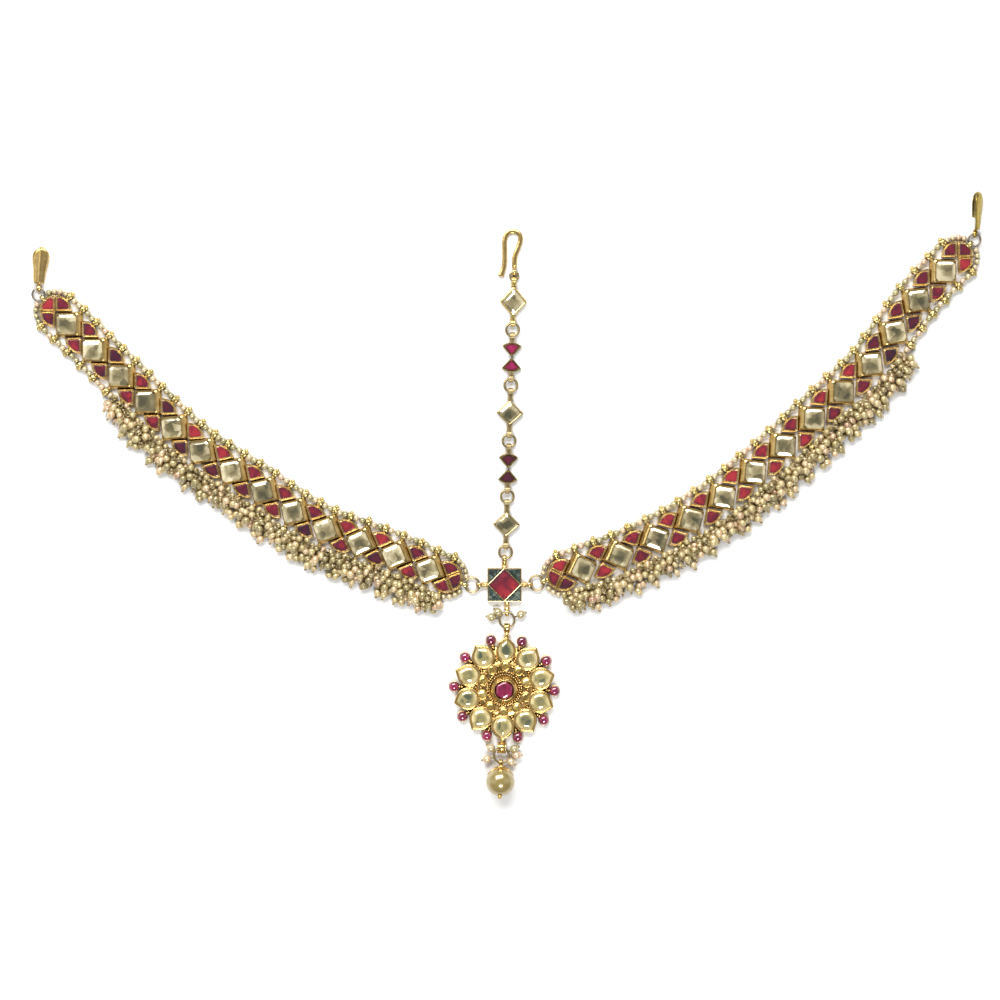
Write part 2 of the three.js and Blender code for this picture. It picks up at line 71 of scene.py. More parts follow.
# rings (k, n, 3) joined by quads, each end closed by a fan to its own middle point
def loft(rings, low=None, high=None, closed=False):
    k, n = rings.shape[:2]
    points = rings.reshape(-1, 3)
    i = np.arange(n)
    j = (i + 1) % n
    steps = np.arange(k if closed else k - 1)[:, None]
    rows, nexts = steps * n, (steps + 1) % k * n
    quads = np.stack([rows + i, rows + j, nexts + j, nexts + i], axis=-1).reshape(-1, 4)
    if closed:
        return points, quads, np.zeros((0, 3), int)
    low = rings[0].mean(axis=0) if low is None else np.array(low, float)
    high = rings[-1].mean(axis=0) if high is None else np.array(high, float)
    under = np.stack([np.full(n, k * n), j, i], axis=-1)
    over = np.stack([np.full(n, k * n + 1), (k - 1) * n + i, (k - 1) * n + j], axis=-1)
    return np.vstack([points, low, high]), quads, np.vstack([under, over])


# points of the unit circle at angles a: (cos a, sin a)
def onCircle(a):
    return np.column_stack([np.cos(a), np.sin(a)])


# the whole unit circle in n points
def circle(n, start=0.0):
    return onCircle(start + np.arange(n) * 2 * np.pi / n)


# flat points (n, 2) given a height, one for all of them or one each
def lifted(flat, height):
    return np.column_stack([flat, np.broadcast_to(height, len(flat))])


# each row divided by its length
def unit(rows):
    return rows / np.linalg.norm(rows, axis=1)[:, None]


# profile of [radius, height] pairs turned about Z, first and last pair on the axis
def turned(profile, sides):
    profile = np.array(profile, float)
    middle = profile[1:-1]
    rings = np.concatenate([
        middle[:, None, :1] * circle(sides)[None],
        np.repeat(middle[:, None, 1:], sides, axis=1)], axis=-1)
    return loft(rings, (0, 0, profile[0, 1]), (0, 0, profile[-1, 1]))


# sphere from pole to pole, stretched along each axis
def ball(radius, sides, stacks, stretch=(1, 1, 1)):
    a = -np.pi / 2 + np.arange(stacks + 1) * np.pi / stacks
    points, quads, tris = turned(onCircle(a) * radius, sides)
    return points * np.array(stretch), quads, tris


# outline (n, 2) lifted through levels of [share of the outline, height], about a middle point;
# a third number in each level is its share of the sideways shift
def stepped(outline, levels, middle=(0, 0), shift=(0, 0), top=None):
    outline, levels, middle = (np.array(part, float) for part in (outline, levels, middle))
    flat = middle + (outline - middle)[None] * levels[:, None, :1]
    if levels.shape[1] == 3:
        flat = flat + (levels[:, 2:] * np.array(shift, float))[:, None]
    heights = np.repeat(levels[:, None, 1:2], len(outline), axis=1)
    rings = np.concatenate([flat, heights], axis=-1)
    high = None if top is None else (*rings[-1, :, :2].mean(axis=0), top)
    return loft(rings, None, high)


# section (n, 2) carried along a path (k, 3): point = path + side * a + rise * b,
# side = up x forward, rise = forward x side
def carried(path, section, up=(0, 0, 1), wide=1.0, thick=1.0, closed=False):
    path, section = np.asarray(path, float), np.asarray(section, float)
    if closed:
        forward = np.roll(path, -1, axis=0) - np.roll(path, 1, axis=0)
    else:
        forward = np.gradient(path, axis=0)
    forward = unit(forward)
    side = unit(np.cross(np.array(up, float)[None], forward))
    rise = np.cross(forward, side)
    wide, thick = (np.broadcast_to(size, len(path))[:, None, None] for size in (wide, thick))
    rings = (path[:, None] + side[:, None] * section[None, :, :1] * wide
             + rise[:, None] * section[None, :, 1:] * thick)
    return loft(rings, closed=closed)


# straight round bar between two points
def bar(start, end, radius, sides):
    start, end = np.array(start, float), np.array(end, float)
    lean = (0, 0, 1) if abs((end - start)[2]) < 0.8 * np.linalg.norm(end - start) else (1, 0, 0)
    path = start + (end - start) * np.linspace(0, 1, 3)[:, None]
    return carried(path, circle(sides) * radius, lean)


# ring lying flat: circle of the given radius with a round wire
def wireRing(radius, wire, steps=36, sides=10):
    return carried(lifted(circle(steps) * radius, 0), circle(sides) * wire, closed=True)


# short tube about the X axis: wall section with cut corners carried round a circle
def tube(radius, bore, width, steps=20):
    mid, half, edge = (radius + bore) / 2, (radius - bore) / 2, width / 2
    cut = 0.25 * half
    path = np.column_stack([np.zeros(steps), circle(steps) * mid])
    section = [
        [-half, -edge + cut], [-half + cut, -edge], [half - cut, -edge], [half, -edge + cut],
        [half, edge - cut], [half - cut, edge], [-half + cut, edge], [-half, edge - cut]]
    return carried(path, section, (1, 0, 0), closed=True)


# shape turned about Z by degrees, then moved
def moved(shape, x=0.0, y=0.0, z=0.0, turn=0.0):
    points, *rest = shape
    c, s = np.cos(turn * degree), np.sin(turn * degree)
    spin = np.array([[c, -s, 0], [s, c, 0], [0, 0, 1]])
    return points @ spin.T + np.array([x, y, z]), *rest


# shape moved out from the origin, then turned about it by degrees
def around(shape, turn, y, x=0.0, z=0.0):
    return moved(moved(shape, x, y, z), turn=turn)


# shape put at y along a line from start, the line and the shape tilted by degrees
def placed(shape, start, y, tilt):
    c = tilt * degree
    return moved(shape, start[0] - y * np.sin(c), start[1] + y * np.cos(c), 0, tilt)


# shape turned about the X and Y axes by degrees
def tipped(shape, x=0.0, y=0.0):
    points, *rest = shape
    spin = np.array(Euler((x * degree, y * degree, 0)).to_matrix())
    return points @ spin.T, *rest


# one tone for a shape, or for a stepped shape one for each level, its caps as the end levels
def toned(shape, base, levels=None):
    points, quads, tris = shape[:3]
    if levels is None:
        return points, quads, tris, np.full(len(points), base)
    levels = np.array(levels, float)
    sides = (len(points) - 2) // len(levels)
    return points, quads, tris, base + np.concatenate([np.repeat(levels, sides), levels[[0, -1]]])


# tones graded across a shape: tone + amount * (distance from its middle along the line) / reach
def graded(shape, line, amount, reach):
    points, quads, tris, tones = shape
    line = np.array(line, float) / np.linalg.norm(line)
    across = (points[:, :2] - points[:, :2].mean(axis=0)) @ line / reach
    return points, quads, tris, tones + amount * across


# one shape copied to many places: point = spin(angle) * scale * point + place
def stamped(shape, places, angles=0.0, scales=1.0, tones=0.5):
    points, quads, tris = shape[:3]
    places = np.atleast_2d(np.asarray(places, float))
    m = len(places)
    a = np.broadcast_to(angles, m)
    scales = np.asarray(scales, float)
    if scales.ndim < 2:
        scales = np.broadcast_to(scales, m)[:, None]
    scales = np.broadcast_to(scales, (m, 3))
    c, s, o, e = np.cos(a), np.sin(a), np.zeros(m), np.ones(m)
    spin = np.stack([c, -s, o, s, c, o, o, o, e], axis=-1).reshape(m, 3, 3)
    out = np.einsum("mij,mnj->mni", spin, points[None] * scales[:, None]) + places[:, None]
    step = (np.arange(m) * len(points))[:, None, None]
    allQuads = (quads[None] + step).reshape(-1, 4)
    allTris = (tris[None] + step).reshape(-1, 3)
    tone = np.repeat(np.broadcast_to(tones, m), len(points))
    if len(shape) > 3:
        tone = tone + np.tile(shape[3], m)
    return out.reshape(-1, 3), allQuads, allTris, tone


# shapes in millimetres joined into one mesh, with a tone of 0 to 1 kept on its points
def makePiece(name, shapes, finish, nodes=(), flat=False):
    firsts = np.cumsum([0, *(len(shape[0]) for shape in shapes)])
    points = np.vstack([shape[0] for shape in shapes]) * mm
    faces = []
    for part in (1, 2):
        faces += np.vstack([shape[part] + first for shape, first in zip(shapes, firsts)]).tolist()
    tones = [shape[3] if len(shape) > 3 else np.full(len(shape[0]), 0.5) for shape in shapes]
    mesh = bpy.data.meshes.new(name)
    mesh.from_pydata(points, [], faces)
    tone = mesh.attributes.new("tone", "FLOAT", "POINT")
    tone.data.foreach_set("value", np.concatenate(tones).astype(np.float32))
    mesh.polygons.foreach_set("use_smooth", np.full(len(faces), not flat))
    mesh.materials.append(finishes[finish])
    mesh.update()
    piece = addObject(name, mesh)
    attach(piece, "root")
    if nodes:
        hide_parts(*nodes)


# Finishes

# a finish's nodes: each method adds one and gives its output
class Finish:
    def __init__(self, name):
        self.material = bpy.data.materials.new(name)
        self.material.use_nodes = True
        self.nodes = self.material.node_tree.nodes
        self.shader = self.nodes["Principled BSDF"]
        self.place = self.nodes.new("ShaderNodeTexCoord").outputs["Object"]

    # a number, a colour or another node's output put into each named socket
    def fill(self, node, values):
        for key, value in values.items():
            if isinstance(value, bpy.types.NodeSocket):
                self.material.node_tree.links.new(value, node.inputs[key])
            else:
                node.inputs[key].default_value = (*value, 1) if isinstance(value, tuple) else value
        return node

    def add(self, kind, values):
        return self.fill(self.nodes.new("ShaderNode" + kind), values)

    def noise(self, scale, detail, rough):
        return self.add("TexNoise", {"Vector": self.place, "Scale": scale, "Detail": detail,
                                     "Roughness": rough}).outputs["Fac"]

    def ramp(self, factor, stops):
        ramp = self.add("ValToRGB", {"Fac": factor})
        elements = ramp.color_ramp.elements
        while len(elements) < len(stops):
            elements.new(0.5)
        for element, (at, color) in zip(elements, stops):
            element.position = at
            element.color = (*color, 1)
        return ramp.outputs["Color"]

    def math(self, kind, first, second):
        math = self.add("Math", {0: first, 1: second})
        math.operation = kind
        return math.outputs[0]

    # one colour multiplied by another
    def multiplied(self, first, second):
        mix = self.nodes.new("ShaderNodeMix")
        mix.data_type = "RGBA"
        mix.blend_type = "MULTIPLY"
        return self.fill(mix, {0: 1.0, 6: first, 7: second}).outputs[2]

    def bump(self, height, strength, distance):
        bump = self.add("Bump", {"Strength": strength, "Distance": distance, "Height": height})
        self.fill(self.shader, {"Normal": bump.outputs["Normal"]})

    # tone kept on the points of a piece
    def tone(self):
        tone = self.nodes.new("ShaderNodeAttribute")
        tone.attribute_name = "tone"
        return tone.outputs["Fac"]

    # 0 in crevices, 1 where open, from ambient occlusion over a short distance
    def depth(self, distance):
        depth = self.add("AmbientOcclusion", {"Distance": distance})
        depth.samples = 8
        return depth.outputs["AO"]


white = (1, 1, 1)
# each look's dark colour is the painted shade its crevices are darkened to
goldLook = {
    "gold": {"dark": (0.30, 0.17, 0.05), "body": (0.56, 0.365, 0.105),
             "pale": (0.80, 0.57, 0.235), "rough": (0.18, 0.32)},
    "paleGold": {"dark": (0.42, 0.28, 0.12), "body": (0.64, 0.46, 0.19),
                 "pale": (0.92, 0.74, 0.42), "rough": (0.2, 0.34)},
    "oliveGold": {"dark": (0.36, 0.26, 0.10), "body": (0.49, 0.37, 0.13),
                  "pale": (0.70, 0.555, 0.24), "rough": (0.2, 0.36)},
    # the right side hook's finish: the same gold made darker as painted shade, since that hook lies
    # rolled onto its side
    "shadedGold": {"dark": (0.18, 0.115, 0.025), "body": (0.29, 0.205, 0.045),
                   "pale": (0.45, 0.33, 0.085), "rough": (0.2, 0.36)},
    # darkGold: a darker gold, used for the rings, threads, pins, pearl wires and most chain
    # settings
    "darkGold": {"dark": (0.15, 0.105, 0.045), "body": (0.31, 0.235, 0.115),
                 "pale": (0.51, 0.405, 0.215), "rough": (0.22, 0.4)},
    "darkSteel": {"dark": (0.05, 0.045, 0.04), "body": (0.17, 0.145, 0.11),
                  "pale": (0.36, 0.31, 0.24), "rough": (0.2, 0.4)},
}
metalGrain = {"cloud": 420, "scratches": 2600, "dents": 620, "crevice": 0.0011,
              "bump": (0.14, 0.0001)}


# metal: colour from noise, with painted shade darkening it by crevice depth, fine scratches in
# roughness, dents in bump
def makeMetal(name):
    look = goldLook[name]
    finish = Finish(name)
    cloud = finish.noise(metalGrain["cloud"], 4, 0.6)
    body = finish.ramp(cloud, [(0.3, look["body"]), (0.62, look["pale"])])
    # painted shade: where ambient occlusion finds a crevice the colour goes to the look's dark
    # colour
    depth = finish.depth(metalGrain["crevice"])
    paintedShade = finish.ramp(depth, [(0.15, look["dark"]), (0.75, white)])
    low, high = look["rough"]
    fine = finish.noise(metalGrain["scratches"], 3, 0.6)
    rough = finish.add("MapRange", {"Value": fine, "To Min": low, "To Max": high})
    finish.fill(finish.shader, {"Base Color": finish.multiplied(body, paintedShade), "Metallic": 1.0,
                                "Roughness": rough.outputs["Result"]})
    finish.bump(finish.noise(metalGrain["dents"], 2, 0.5), *metalGrain["bump"])
    return finish.material


stoneLook = {
    "flatDiamond": {
        "stops": [(0.12, (0.095, 0.086, 0.046)), (0.36, (0.215, 0.18, 0.09)),
                  (0.58, (0.39, 0.325, 0.165)), (0.88, (0.78, 0.69, 0.44))],
        "metal": 0.3, "cells": 420, "rough": 0.11, "spread": 0.85},
    "petalDiamond": {
        "stops": [(0.08, (0.10, 0.115, 0.07)), (0.32, (0.33, 0.29, 0.125)),
                  (0.6, (0.64, 0.515, 0.205)), (0.88, (0.93, 0.79, 0.43))],
        "metal": 0.25, "cells": 340, "rough": 0.12, "spread": 0.6},
    "champagne": {
        "stops": [(0.1, (0.18, 0.11, 0.025)), (0.4, (0.47, 0.315, 0.07)),
                  (0.65, (0.72, 0.50, 0.13)), (0.9, (0.93, 0.73, 0.29))],
        "metal": 0.75, "cells": 600, "rough": 0.2, "spread": 0.9},
    "ruby": {
        "stops": [(0.05, (0.028, 0.005, 0.018)), (0.3, (0.075, 0.006, 0.02)),
                  (0.6, (0.17, 0.009, 0.024)), (0.92, (0.40, 0.024, 0.032))],
        "metal": 0.1, "cells": 560, "rough": 0.12, "spread": 0.55},
    "pinkRuby": {
        "stops": [(0.05, (0.055, 0.006, 0.018)), (0.35, (0.15, 0.006, 0.034)),
                  (0.65, (0.32, 0.010, 0.075)), (0.95, (0.58, 0.06, 0.15))],
        "metal": 0.1, "cells": 520, "rough": 0.14, "spread": 0.5},
    "greenCorner": {
        "stops": [(0.15, (0.012, 0.022, 0.017)), (0.5, (0.040, 0.066, 0.052)),
                  (0.85, (0.19, 0.22, 0.17))],
        "metal": 0.1, "cells": 1500, "rough": 0.16, "spread": 1.2},
}


# stone over foil: cells and a soft cloud pick the tone, partly the foil's own mottling and partly
# painted glints of internal reflections, and the point's own tone shifts it: tone + (0.55 * cell +
# 0.45 * cloud - 0.5) * spread
def makeStone(name):
    look = stoneLook[name]
    finish = Finish(name)
    cells = finish.add("TexVoronoi", {"Vector": finish.place, "Scale": look["cells"]})
    cell = finish.add("SeparateColor", {"Color": cells.outputs["Color"]}).outputs["Red"]
    cloud = finish.noise(look["cells"] * 1.4, 3, 0.6)
    foilAndGlints = finish.math("ADD", finish.math("MULTIPLY", cell, 0.55),
                       finish.math("MULTIPLY", cloud, 0.45))
    foilAndGlints = finish.math("MULTIPLY", finish.math("SUBTRACT", foilAndGlints, 0.5), look["spread"])
    factor = finish.math("ADD", finish.tone(), foilAndGlints)
    finish.fill(finish.shader, {
        "Base Color": finish.ramp(factor, look["stops"]), "Metallic": look["metal"],
        "Roughness": look["rough"], "IOR": 1.9, "Coat Weight": 1.0 - look["metal"] * 0.8,
        "Coat Roughness": 0.04})
    finish.bump(finish.noise(look["cells"] * 3, 2, 0.5), 0.12, 0.0001)
    return finish.material


pearlLook = {
    "seedPearl": [(0.0, (0.27, 0.24, 0.085)), (0.35, (0.46, 0.39, 0.18)),
                  (0.65, (0.66, 0.54, 0.31)), (0.95, (0.68, 0.45, 0.29))],
    "fringePearl": [(0.0, (0.22, 0.165, 0.055)), (0.3, (0.40, 0.31, 0.11)),
                    (0.6, (0.62, 0.485, 0.215)), (0.85, (0.74, 0.52, 0.29)),
                    (1.0, (0.46, 0.25, 0.135))],
    "goldenPearl": [(0.0, (0.18, 0.12, 0.03)), (0.5, (0.35, 0.26, 0.075)),
                    (1.0, (0.60, 0.45, 0.19))],
}


nacre = {"cloud": 380, "fine": 1500, "crevice": 0.0016, "shade": (0.42, 0.32, 0.16),
         "bump": (0.15, 0.00006)}


# nacre: each pearl's tone on a cream scale, faint clouding, painted shade darkening its crevices,
# and a clear coat
def makePearl(name):
    finish = Finish(name)
    cloud = finish.noise(nacre["cloud"], 3, 0.5)
    soft = finish.math("MULTIPLY", finish.math("SUBTRACT", cloud, 0.5), 0.5)
    body = finish.ramp(finish.math("ADD", finish.tone(), soft), pearlLook[name])
    shade = finish.ramp(finish.depth(nacre["crevice"]), [(0.1, nacre["shade"]), (0.85, white)])
    finish.fill(finish.shader, {
        "Base Color": finish.multiplied(body, shade), "Metallic": 0.3, "Roughness": 0.28,
        "Coat Weight": 1.0, "Coat Roughness": 0.18, "Coat IOR": 1.9})
    finish.bump(finish.noise(nacre["fine"], 2, 0.5), *nacre["bump"])
    return finish.material


finishes = {name: makeMetal(name) for name in goldLook}
finishes.update({name: makeStone(name) for name in stoneLook})
finishes.update({name: makePearl(name) for name in pearlLook})
print("finishes made:", len(finishes))


# Eyes: every small piece has one or more, each a short tube lying on the surface

eye = {"radius": 1.2, "bore": 0.7, "width": 1.2, "chainWidth": 1.5, "gap": 0.9}
eyeTube = tube(eye["radius"], eye["bore"], eye["width"])


# short gold stud along +Y from the origin, with a collar at each end
def stud(length, radius):
    collar = radius + 0.1
    return tipped(turned([
        [0, 0], [radius, 0], [collar, 0.08], [collar, 0.34], [radius, 0.46],
        [radius, length - 0.46], [collar, length - 0.34], [collar, length - 0.08],
        [radius, length], [0, length]], 16), -90, 0)


# eye at a reach along +Y and the stud from start to it that carries it, both turned by degrees
def studdedEye(reach, start, turn=0, x=0.0, radius=0.9, shape=eyeTube, gap=eye["gap"]):
    return [around(shape, turn, reach, x, eye["radius"]),
            around(stud(reach - gap - start, radius), turn, start, x, eye["radius"])]


# Side bands: stations along each run from 0 to 26, with the diamonds on the odd ones

band = {
    "route": {"left": [(-18.6, 2.5), (-143.5, 87.4)], "right": [(18.7, 3.2), (144.8, 104.7)]},
    "diamonds": 13, "reach": 5.45, "rim": 2.0, "lean": 0.45, "sway": 2.2, "pace": 6.0,
    "fanRadius": 5.35, "fanHalf": 44.5, "fanTip": 0.05, "fanRim": 1.75,
    "capRadius": 5.05, "capMiddle": 2.95, "capShift": 0.12, "plateRadius": 5.2,
    "plateHalf": 134, "plateShift": 0.2, "eyeReach": (6.5, 5.8), "studStart": 4.9,
    "stringOffset": 6.7, "stringLift": 0.95, "thread": 0.22, "pearl": 1.13, "pearlLift": 1.24,
    "loopWidth": 1.6, "post": 0.7, "postStart": (5.3, 5.2), "postLift": 1.1,
    # sideways, away from the string, height and radius of the grains on each loop
    "grains": [(0, 1.2, 1.1, 0.66), (-0.58, 0.7, 1.85, 0.52), (0.58, 0.75, 1.8, 0.5),
               (0.0, 0.05, 2.3, 0.5), (-0.35, -0.65, 2.0, 0.42), (0.4, -0.6, 2.0, 0.42)],
    "endPearls": (75, 58, 41, 25),
}
lastStation = 2 * band["diamonds"]


# names of a band's diamonds in the model, from the inner end outwards
def diamondNodes(side):
    return [f"{side}_diamond_{i:02d}" for i in range(1, band["diamonds"] + 1)]


# curve through points at knots u, of cubic pieces with slopes from neighbouring points:
# gives its places and its slopes
def cubicCurve(points, knots, u):
    slopes = np.gradient(points, knots, axis=0)
    i = np.clip(np.searchsorted(knots, u, side="right") - 1, 0, len(knots) - 2)
    span = (knots[i + 1] - knots[i])[:, None]
    t = (u - knots[i])[:, None] / span
    p, q = points[i], points[i + 1]
    v, w = slopes[i] * span, slopes[i + 1] * span
    place = ((2 * t**3 - 3 * t**2 + 1) * p + (t**3 - 2 * t**2 + t) * v
             + (3 * t**2 - 2 * t**3) * q + (t**3 - t**2) * w)
    slope = (6 * t**2 - 6 * t) * (p - q) + (3 * t**2 - 4 * t + 1) * v + (3 * t**2 - 2 * t) * w
    return place, slope


# centre line of a band through its end plates and the middles of its diamonds
class Route:
    def __init__(self, side):
        inner, outer = band["route"][side]
        middles = []
        for name in diamondNodes(side):
            low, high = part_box(name)
            middles.append([(low[0] + high[0]) / 2 / mm, (low[1] + high[1]) / 2 / mm])
        self.points = np.array([inner, *middles, outer])
        self.knots = np.array([0, *range(1, lastStation, 2), lastStation], float)
        self.sign = 1 if side == "right" else -1

    # place, forward and upward directions at stations u, straight on beyond the ends
    def at(self, u):
        u = np.atleast_1d(np.asarray(u, float))
        held = np.clip(u, 0, lastStation)
        place, slope = cubicCurve(self.points, self.knots, held)
        forward = unit(slope)
        place = place + forward * (u - held)[:, None] * band["pace"]
        up = np.column_stack([-forward[:, 1], forward[:, 0]]) * self.sign
        return place, forward, up

    # local x to the right and y up at stations u, as places and turning angles
    def put(self, u, x=0.0, y=0.0, z=0.0):
        place, _, up = self.at(u)
        right = np.column_stack([up[:, 1], -up[:, 0]])
        x, y = (np.broadcast_to(v, len(place))[:, None] for v in (x, y))
        spots = lifted(place + right * x + up * y, z)
        return spots, np.arctan2(up[:, 1], up[:, 0]) - np.pi / 2

    # inner and outer end: place, direction away from the band, upward direction, eye's reach
    def ends(self):
        places, forwards, ups = self.at([0, lastStation])
        return zip(places, forwards * [[-1], [1]], ups, band["eyeReach"])


# outline with a few slightly cut corners, as a rule a square standing on its corner
def cutOutline(reach, cut=0.06, sides=4, start=0.0):
    corners = circle(sides, start) * reach
    nexts = np.roll(corners, -1, axis=0)
    step = (nexts - corners) * cut
    return np.stack([corners + step, nexts - step], axis=1).reshape(-1, 2)


# sector with its tip at the origin and its arc towards +Y, corners a little rounded
def sectorOutline(radius, half, arc=9):
    rim = onCircle((90 - half + 2 * half * np.linspace(0, 1, arc)) * degree) * radius
    left = rim[-1] * np.array([[0.92], [0.5], [0.07]])
    right = rim[0] * np.array([[0.07], [0.5], [0.92]])
    first, last = rim[0] * 0.985 + [-0.06, 0.05], rim[-1] * 0.985 + [0.06, 0.05]
    return np.vstack([right, first, rim[1:-1], last, left])


# fan ruby: its gold wall (a foot, a rounded outer rim, a groove, and a thin inner rim at the
# stone) and its stone, nearly flat on top and lighter towards its middle
def fan(radius, half, rim, middle, wall=0.70):
    groove = (0.93 + wall) / 2
    goldWall = stepped(sectorOutline(radius, half), [
        [1.01, 0.0], [1.05, 0.12], [1.04, rim * 0.5], [1.0, rim * 0.9], [0.985, rim + 0.1],
        [0.95, rim + 0.2], [0.91, rim + 0.1], [groove, rim - 0.08], [wall + 0.07, rim + 0.08],
        [wall + 0.03, rim + 0.14], [wall, rim + 0.06], [wall - 0.01, rim - 0.35]], middle)
    stone = stepped(sectorOutline(radius, half, 7), [
        [wall + 0.005, rim - 0.3], [wall, rim], [wall * 0.86, rim + 0.17],
        [wall * 0.5, rim + 0.22], [wall * 0.2, rim + 0.24]], middle)
    return goldWall, stone


fanTones = [-0.25, -0.2, -0.05, 0.06, 0.1]


# angles each swayed a little to one side
def swayed(angles):
    return angles + vary(-1, 1, len(angles)) * band["sway"] * degree


# square settings, deeper on the upper inner side, with their stones set to the outer lower side
def buildDiamonds(side, route):
    reach, rim = band["reach"], band["rim"]
    shift = np.array([route.sign, -1]) * band["lean"]
    setting = stepped(cutOutline(reach), [
        [1.0, 0.0, -0.9], [1.05, 0.15, -0.9], [1.045, 1.0, -0.75], [1.0, 1.55, -0.1],
        [0.965, rim * 0.9, 0.2], [0.93, rim + 0.12, 0.55], [0.86, rim + 0.3, 0.85],
        [0.80, rim + 0.3, 1], [0.785, rim + 0.2, 1], [0.78, rim - 0.2, 1]], shift=shift)
    spots, angles = route.put(np.arange(1, lastStation, 2))
    angles = swayed(angles)
    stones = []
    for spot, angle in zip(spots, angles):
        stone = stepped(cutOutline(reach * 0.79, 0.12), [
            [1.0, rim - 0.1, 0], [0.99, rim + 0.14, 0], [0.72, rim + 0.4, 0.4],
            [0.5, rim + 0.47, 0.8], [0.22, rim + 0.5, 1]], shift=vary(-0.7, 0.7, 2))
        stone = toned(stone, vary(0.36, 0.62), [0.14, 0.14, 0.16, -0.05, -0.18])
        stone = graded(stone, vary(-1, 1, 2), 0.1, reach)
        stones.append(stamped(moved(stone, *shift), spot, angle, 1.0, 0.0))
    makePiece(f"{side}DiamondSettings", [stamped(setting, spots, angles)], "gold",
              diamondNodes(side), flat=True)
    makePiece(f"{side}DiamondStones", stones, "flatDiamond", flat=True)


# fan rubies in pairs, and the end plates of three rubies each; gives the eyes of the plates
def buildRubies(side, route):
    radius, half, rim = band["fanRadius"], band["fanHalf"], band["fanRim"]
    walls, rubies, eyes = [], [], []
    wall, ruby = fan(radius, half, rim, (0, radius * 0.6))
    ruby = toned(ruby, 0.0, fanTones)
    fans = np.arange(2, lastStation - 1, 2)
    for way in (1, -1):
        spots, angles = route.put(fans, 0, way * band["fanTip"])
        angles = swayed(angles + (0 if way > 0 else np.pi))
        walls.append(stamped(wall, spots, angles))
        rubies.append(stamped(ruby, spots, angles, 1.0, vary(0.15, 0.85, len(fans))))
    plate = moved(stepped(
        sectorOutline(band["plateRadius"], band["plateHalf"], 27),
        [[0.98, 0.0], [1.02, 0.15], [1.01, 1.3], [0.98, 1.5]], (0, 0.6)), 0, band["plateShift"])
    wall, ruby = (moved(shape, 0, band["capShift"])
                  for shape in fan(band["capRadius"], half, rim, (0, band["capMiddle"])))
    ruby = toned(ruby, 0.0, fanTones)
    for place, away, _, reach in route.ends():
        facing = np.arctan2(away[1], away[0]) - np.pi / 2
        spot = (*place, 0)
        walls.append(stamped(plate, spot, facing))
        for heading in (-90, 0, 90):
            angle = facing + heading * degree
            walls.append(stamped(wall, spot, angle))
            rubies.append(stamped(ruby, spot, angle, 1.0, vary(0.25, 0.95)))
        eyes += [stamped(shape, spot, facing) for shape in studdedEye(reach, band["studStart"])]
    makePiece(f"{side}RubySettings", walls, "paleGold",
              (f"{side}_inner_cap", f"{side}_outer_cap"), flat=True)
    makePiece(f"{side}RubyStones", rubies, "ruby", flat=True)
    return eyes


# gold loops on the strings at every station, each with grains and a short post to its setting
def buildLoops(side, route, eyes):
    loops = [*eyes]
    loop, grain = tube(1.25, 0.42, band["loopWidth"], 14), ball(1.0, 10, 6)
    stations = np.arange(lastStation + 1)
    string, lift = band["stringOffset"], band["stringLift"] + 0.32
    inner = np.where(stations % 2 == 1, *band["postStart"])
    for way in (1, -1):
        loops.append(stamped(loop, *route.put(stations, 0, way * string, lift)))
        for share in (0.1, 0.8):
            y = way * (inner + (string - 0.9 - inner) * share)
            spots, angles = route.put(stations, 0, y, band["postLift"])
            loops.append(stamped(ball(band["post"], 10, 6), spots, angles))
        jitter = vary(-0.15, 0.15, (3, len(stations)))
        for x, y, z, size in band["grains"]:
            spots, angles = route.put(stations, x + jitter[0], way * (string + y + jitter[1] * 0.6),
                                      z + jitter[2] * 0.5)
            loops.append(stamped(grain, spots, angles, size * vary(0.9, 1.15, len(stations))))
    makePiece(f"{side}StringLoops", loops, "oliveGold")


# seed pearls, two between each pair of loops and four round each corner of the end plates
def buildSeedPearls(side, route):
    pearl = ball(1.0, 12, 8)
    pearls, threads = [], []
    string, gaps = band["stringOffset"], lastStation
    turns = np.array(band["endPearls"]) * degree
    for way in (1, -1):
        for share in (0.32, 0.68):
            u = np.arange(gaps) + share + vary(-0.015, 0.015, gaps)
            wobble = vary(-0.2, 0.2, (2, gaps))
            spots, angles = route.put(u, 0, way * (string + wobble[0]),
                                      band["pearlLift"] + wobble[1] * 0.2)
            stepLength = np.linalg.norm(route.at(u + 0.1)[0] - route.at(u - 0.1)[0], axis=1) * 5
            half = (stepLength - band["loopWidth"]) / 4
            size = vary(0.9, 1.06, gaps) * band["pearl"]
            scales = np.column_stack([half * vary(0.98, 1.06, gaps), size, size * 0.98])
            pearls.append(stamped(pearl, spots, angles, scales, vary(0.1, 0.95, gaps)))
        for place, away, up, _ in route.ends():
            ray = np.cos(turns)[:, None] * away + way * np.sin(turns)[:, None] * up
            pearls.append(stamped(pearl, lifted(place + (string - 0.25) * ray, 1.0), 0,
                                  vary(0.9, 1.0, 4), vary(0.1, 0.95, 4)))
        spots, _ = route.put(np.linspace(0, gaps, 131), 0, way * string, 1.0)
        threads.append(carried(spots, circle(6) * band["thread"]))
    makePiece(f"{side}SeedPearls", pearls, "seedPearl", (f"{side}_upper_row", f"{side}_lower_row"))
    makePiece(f"{side}StringThreads", threads, "darkGold")


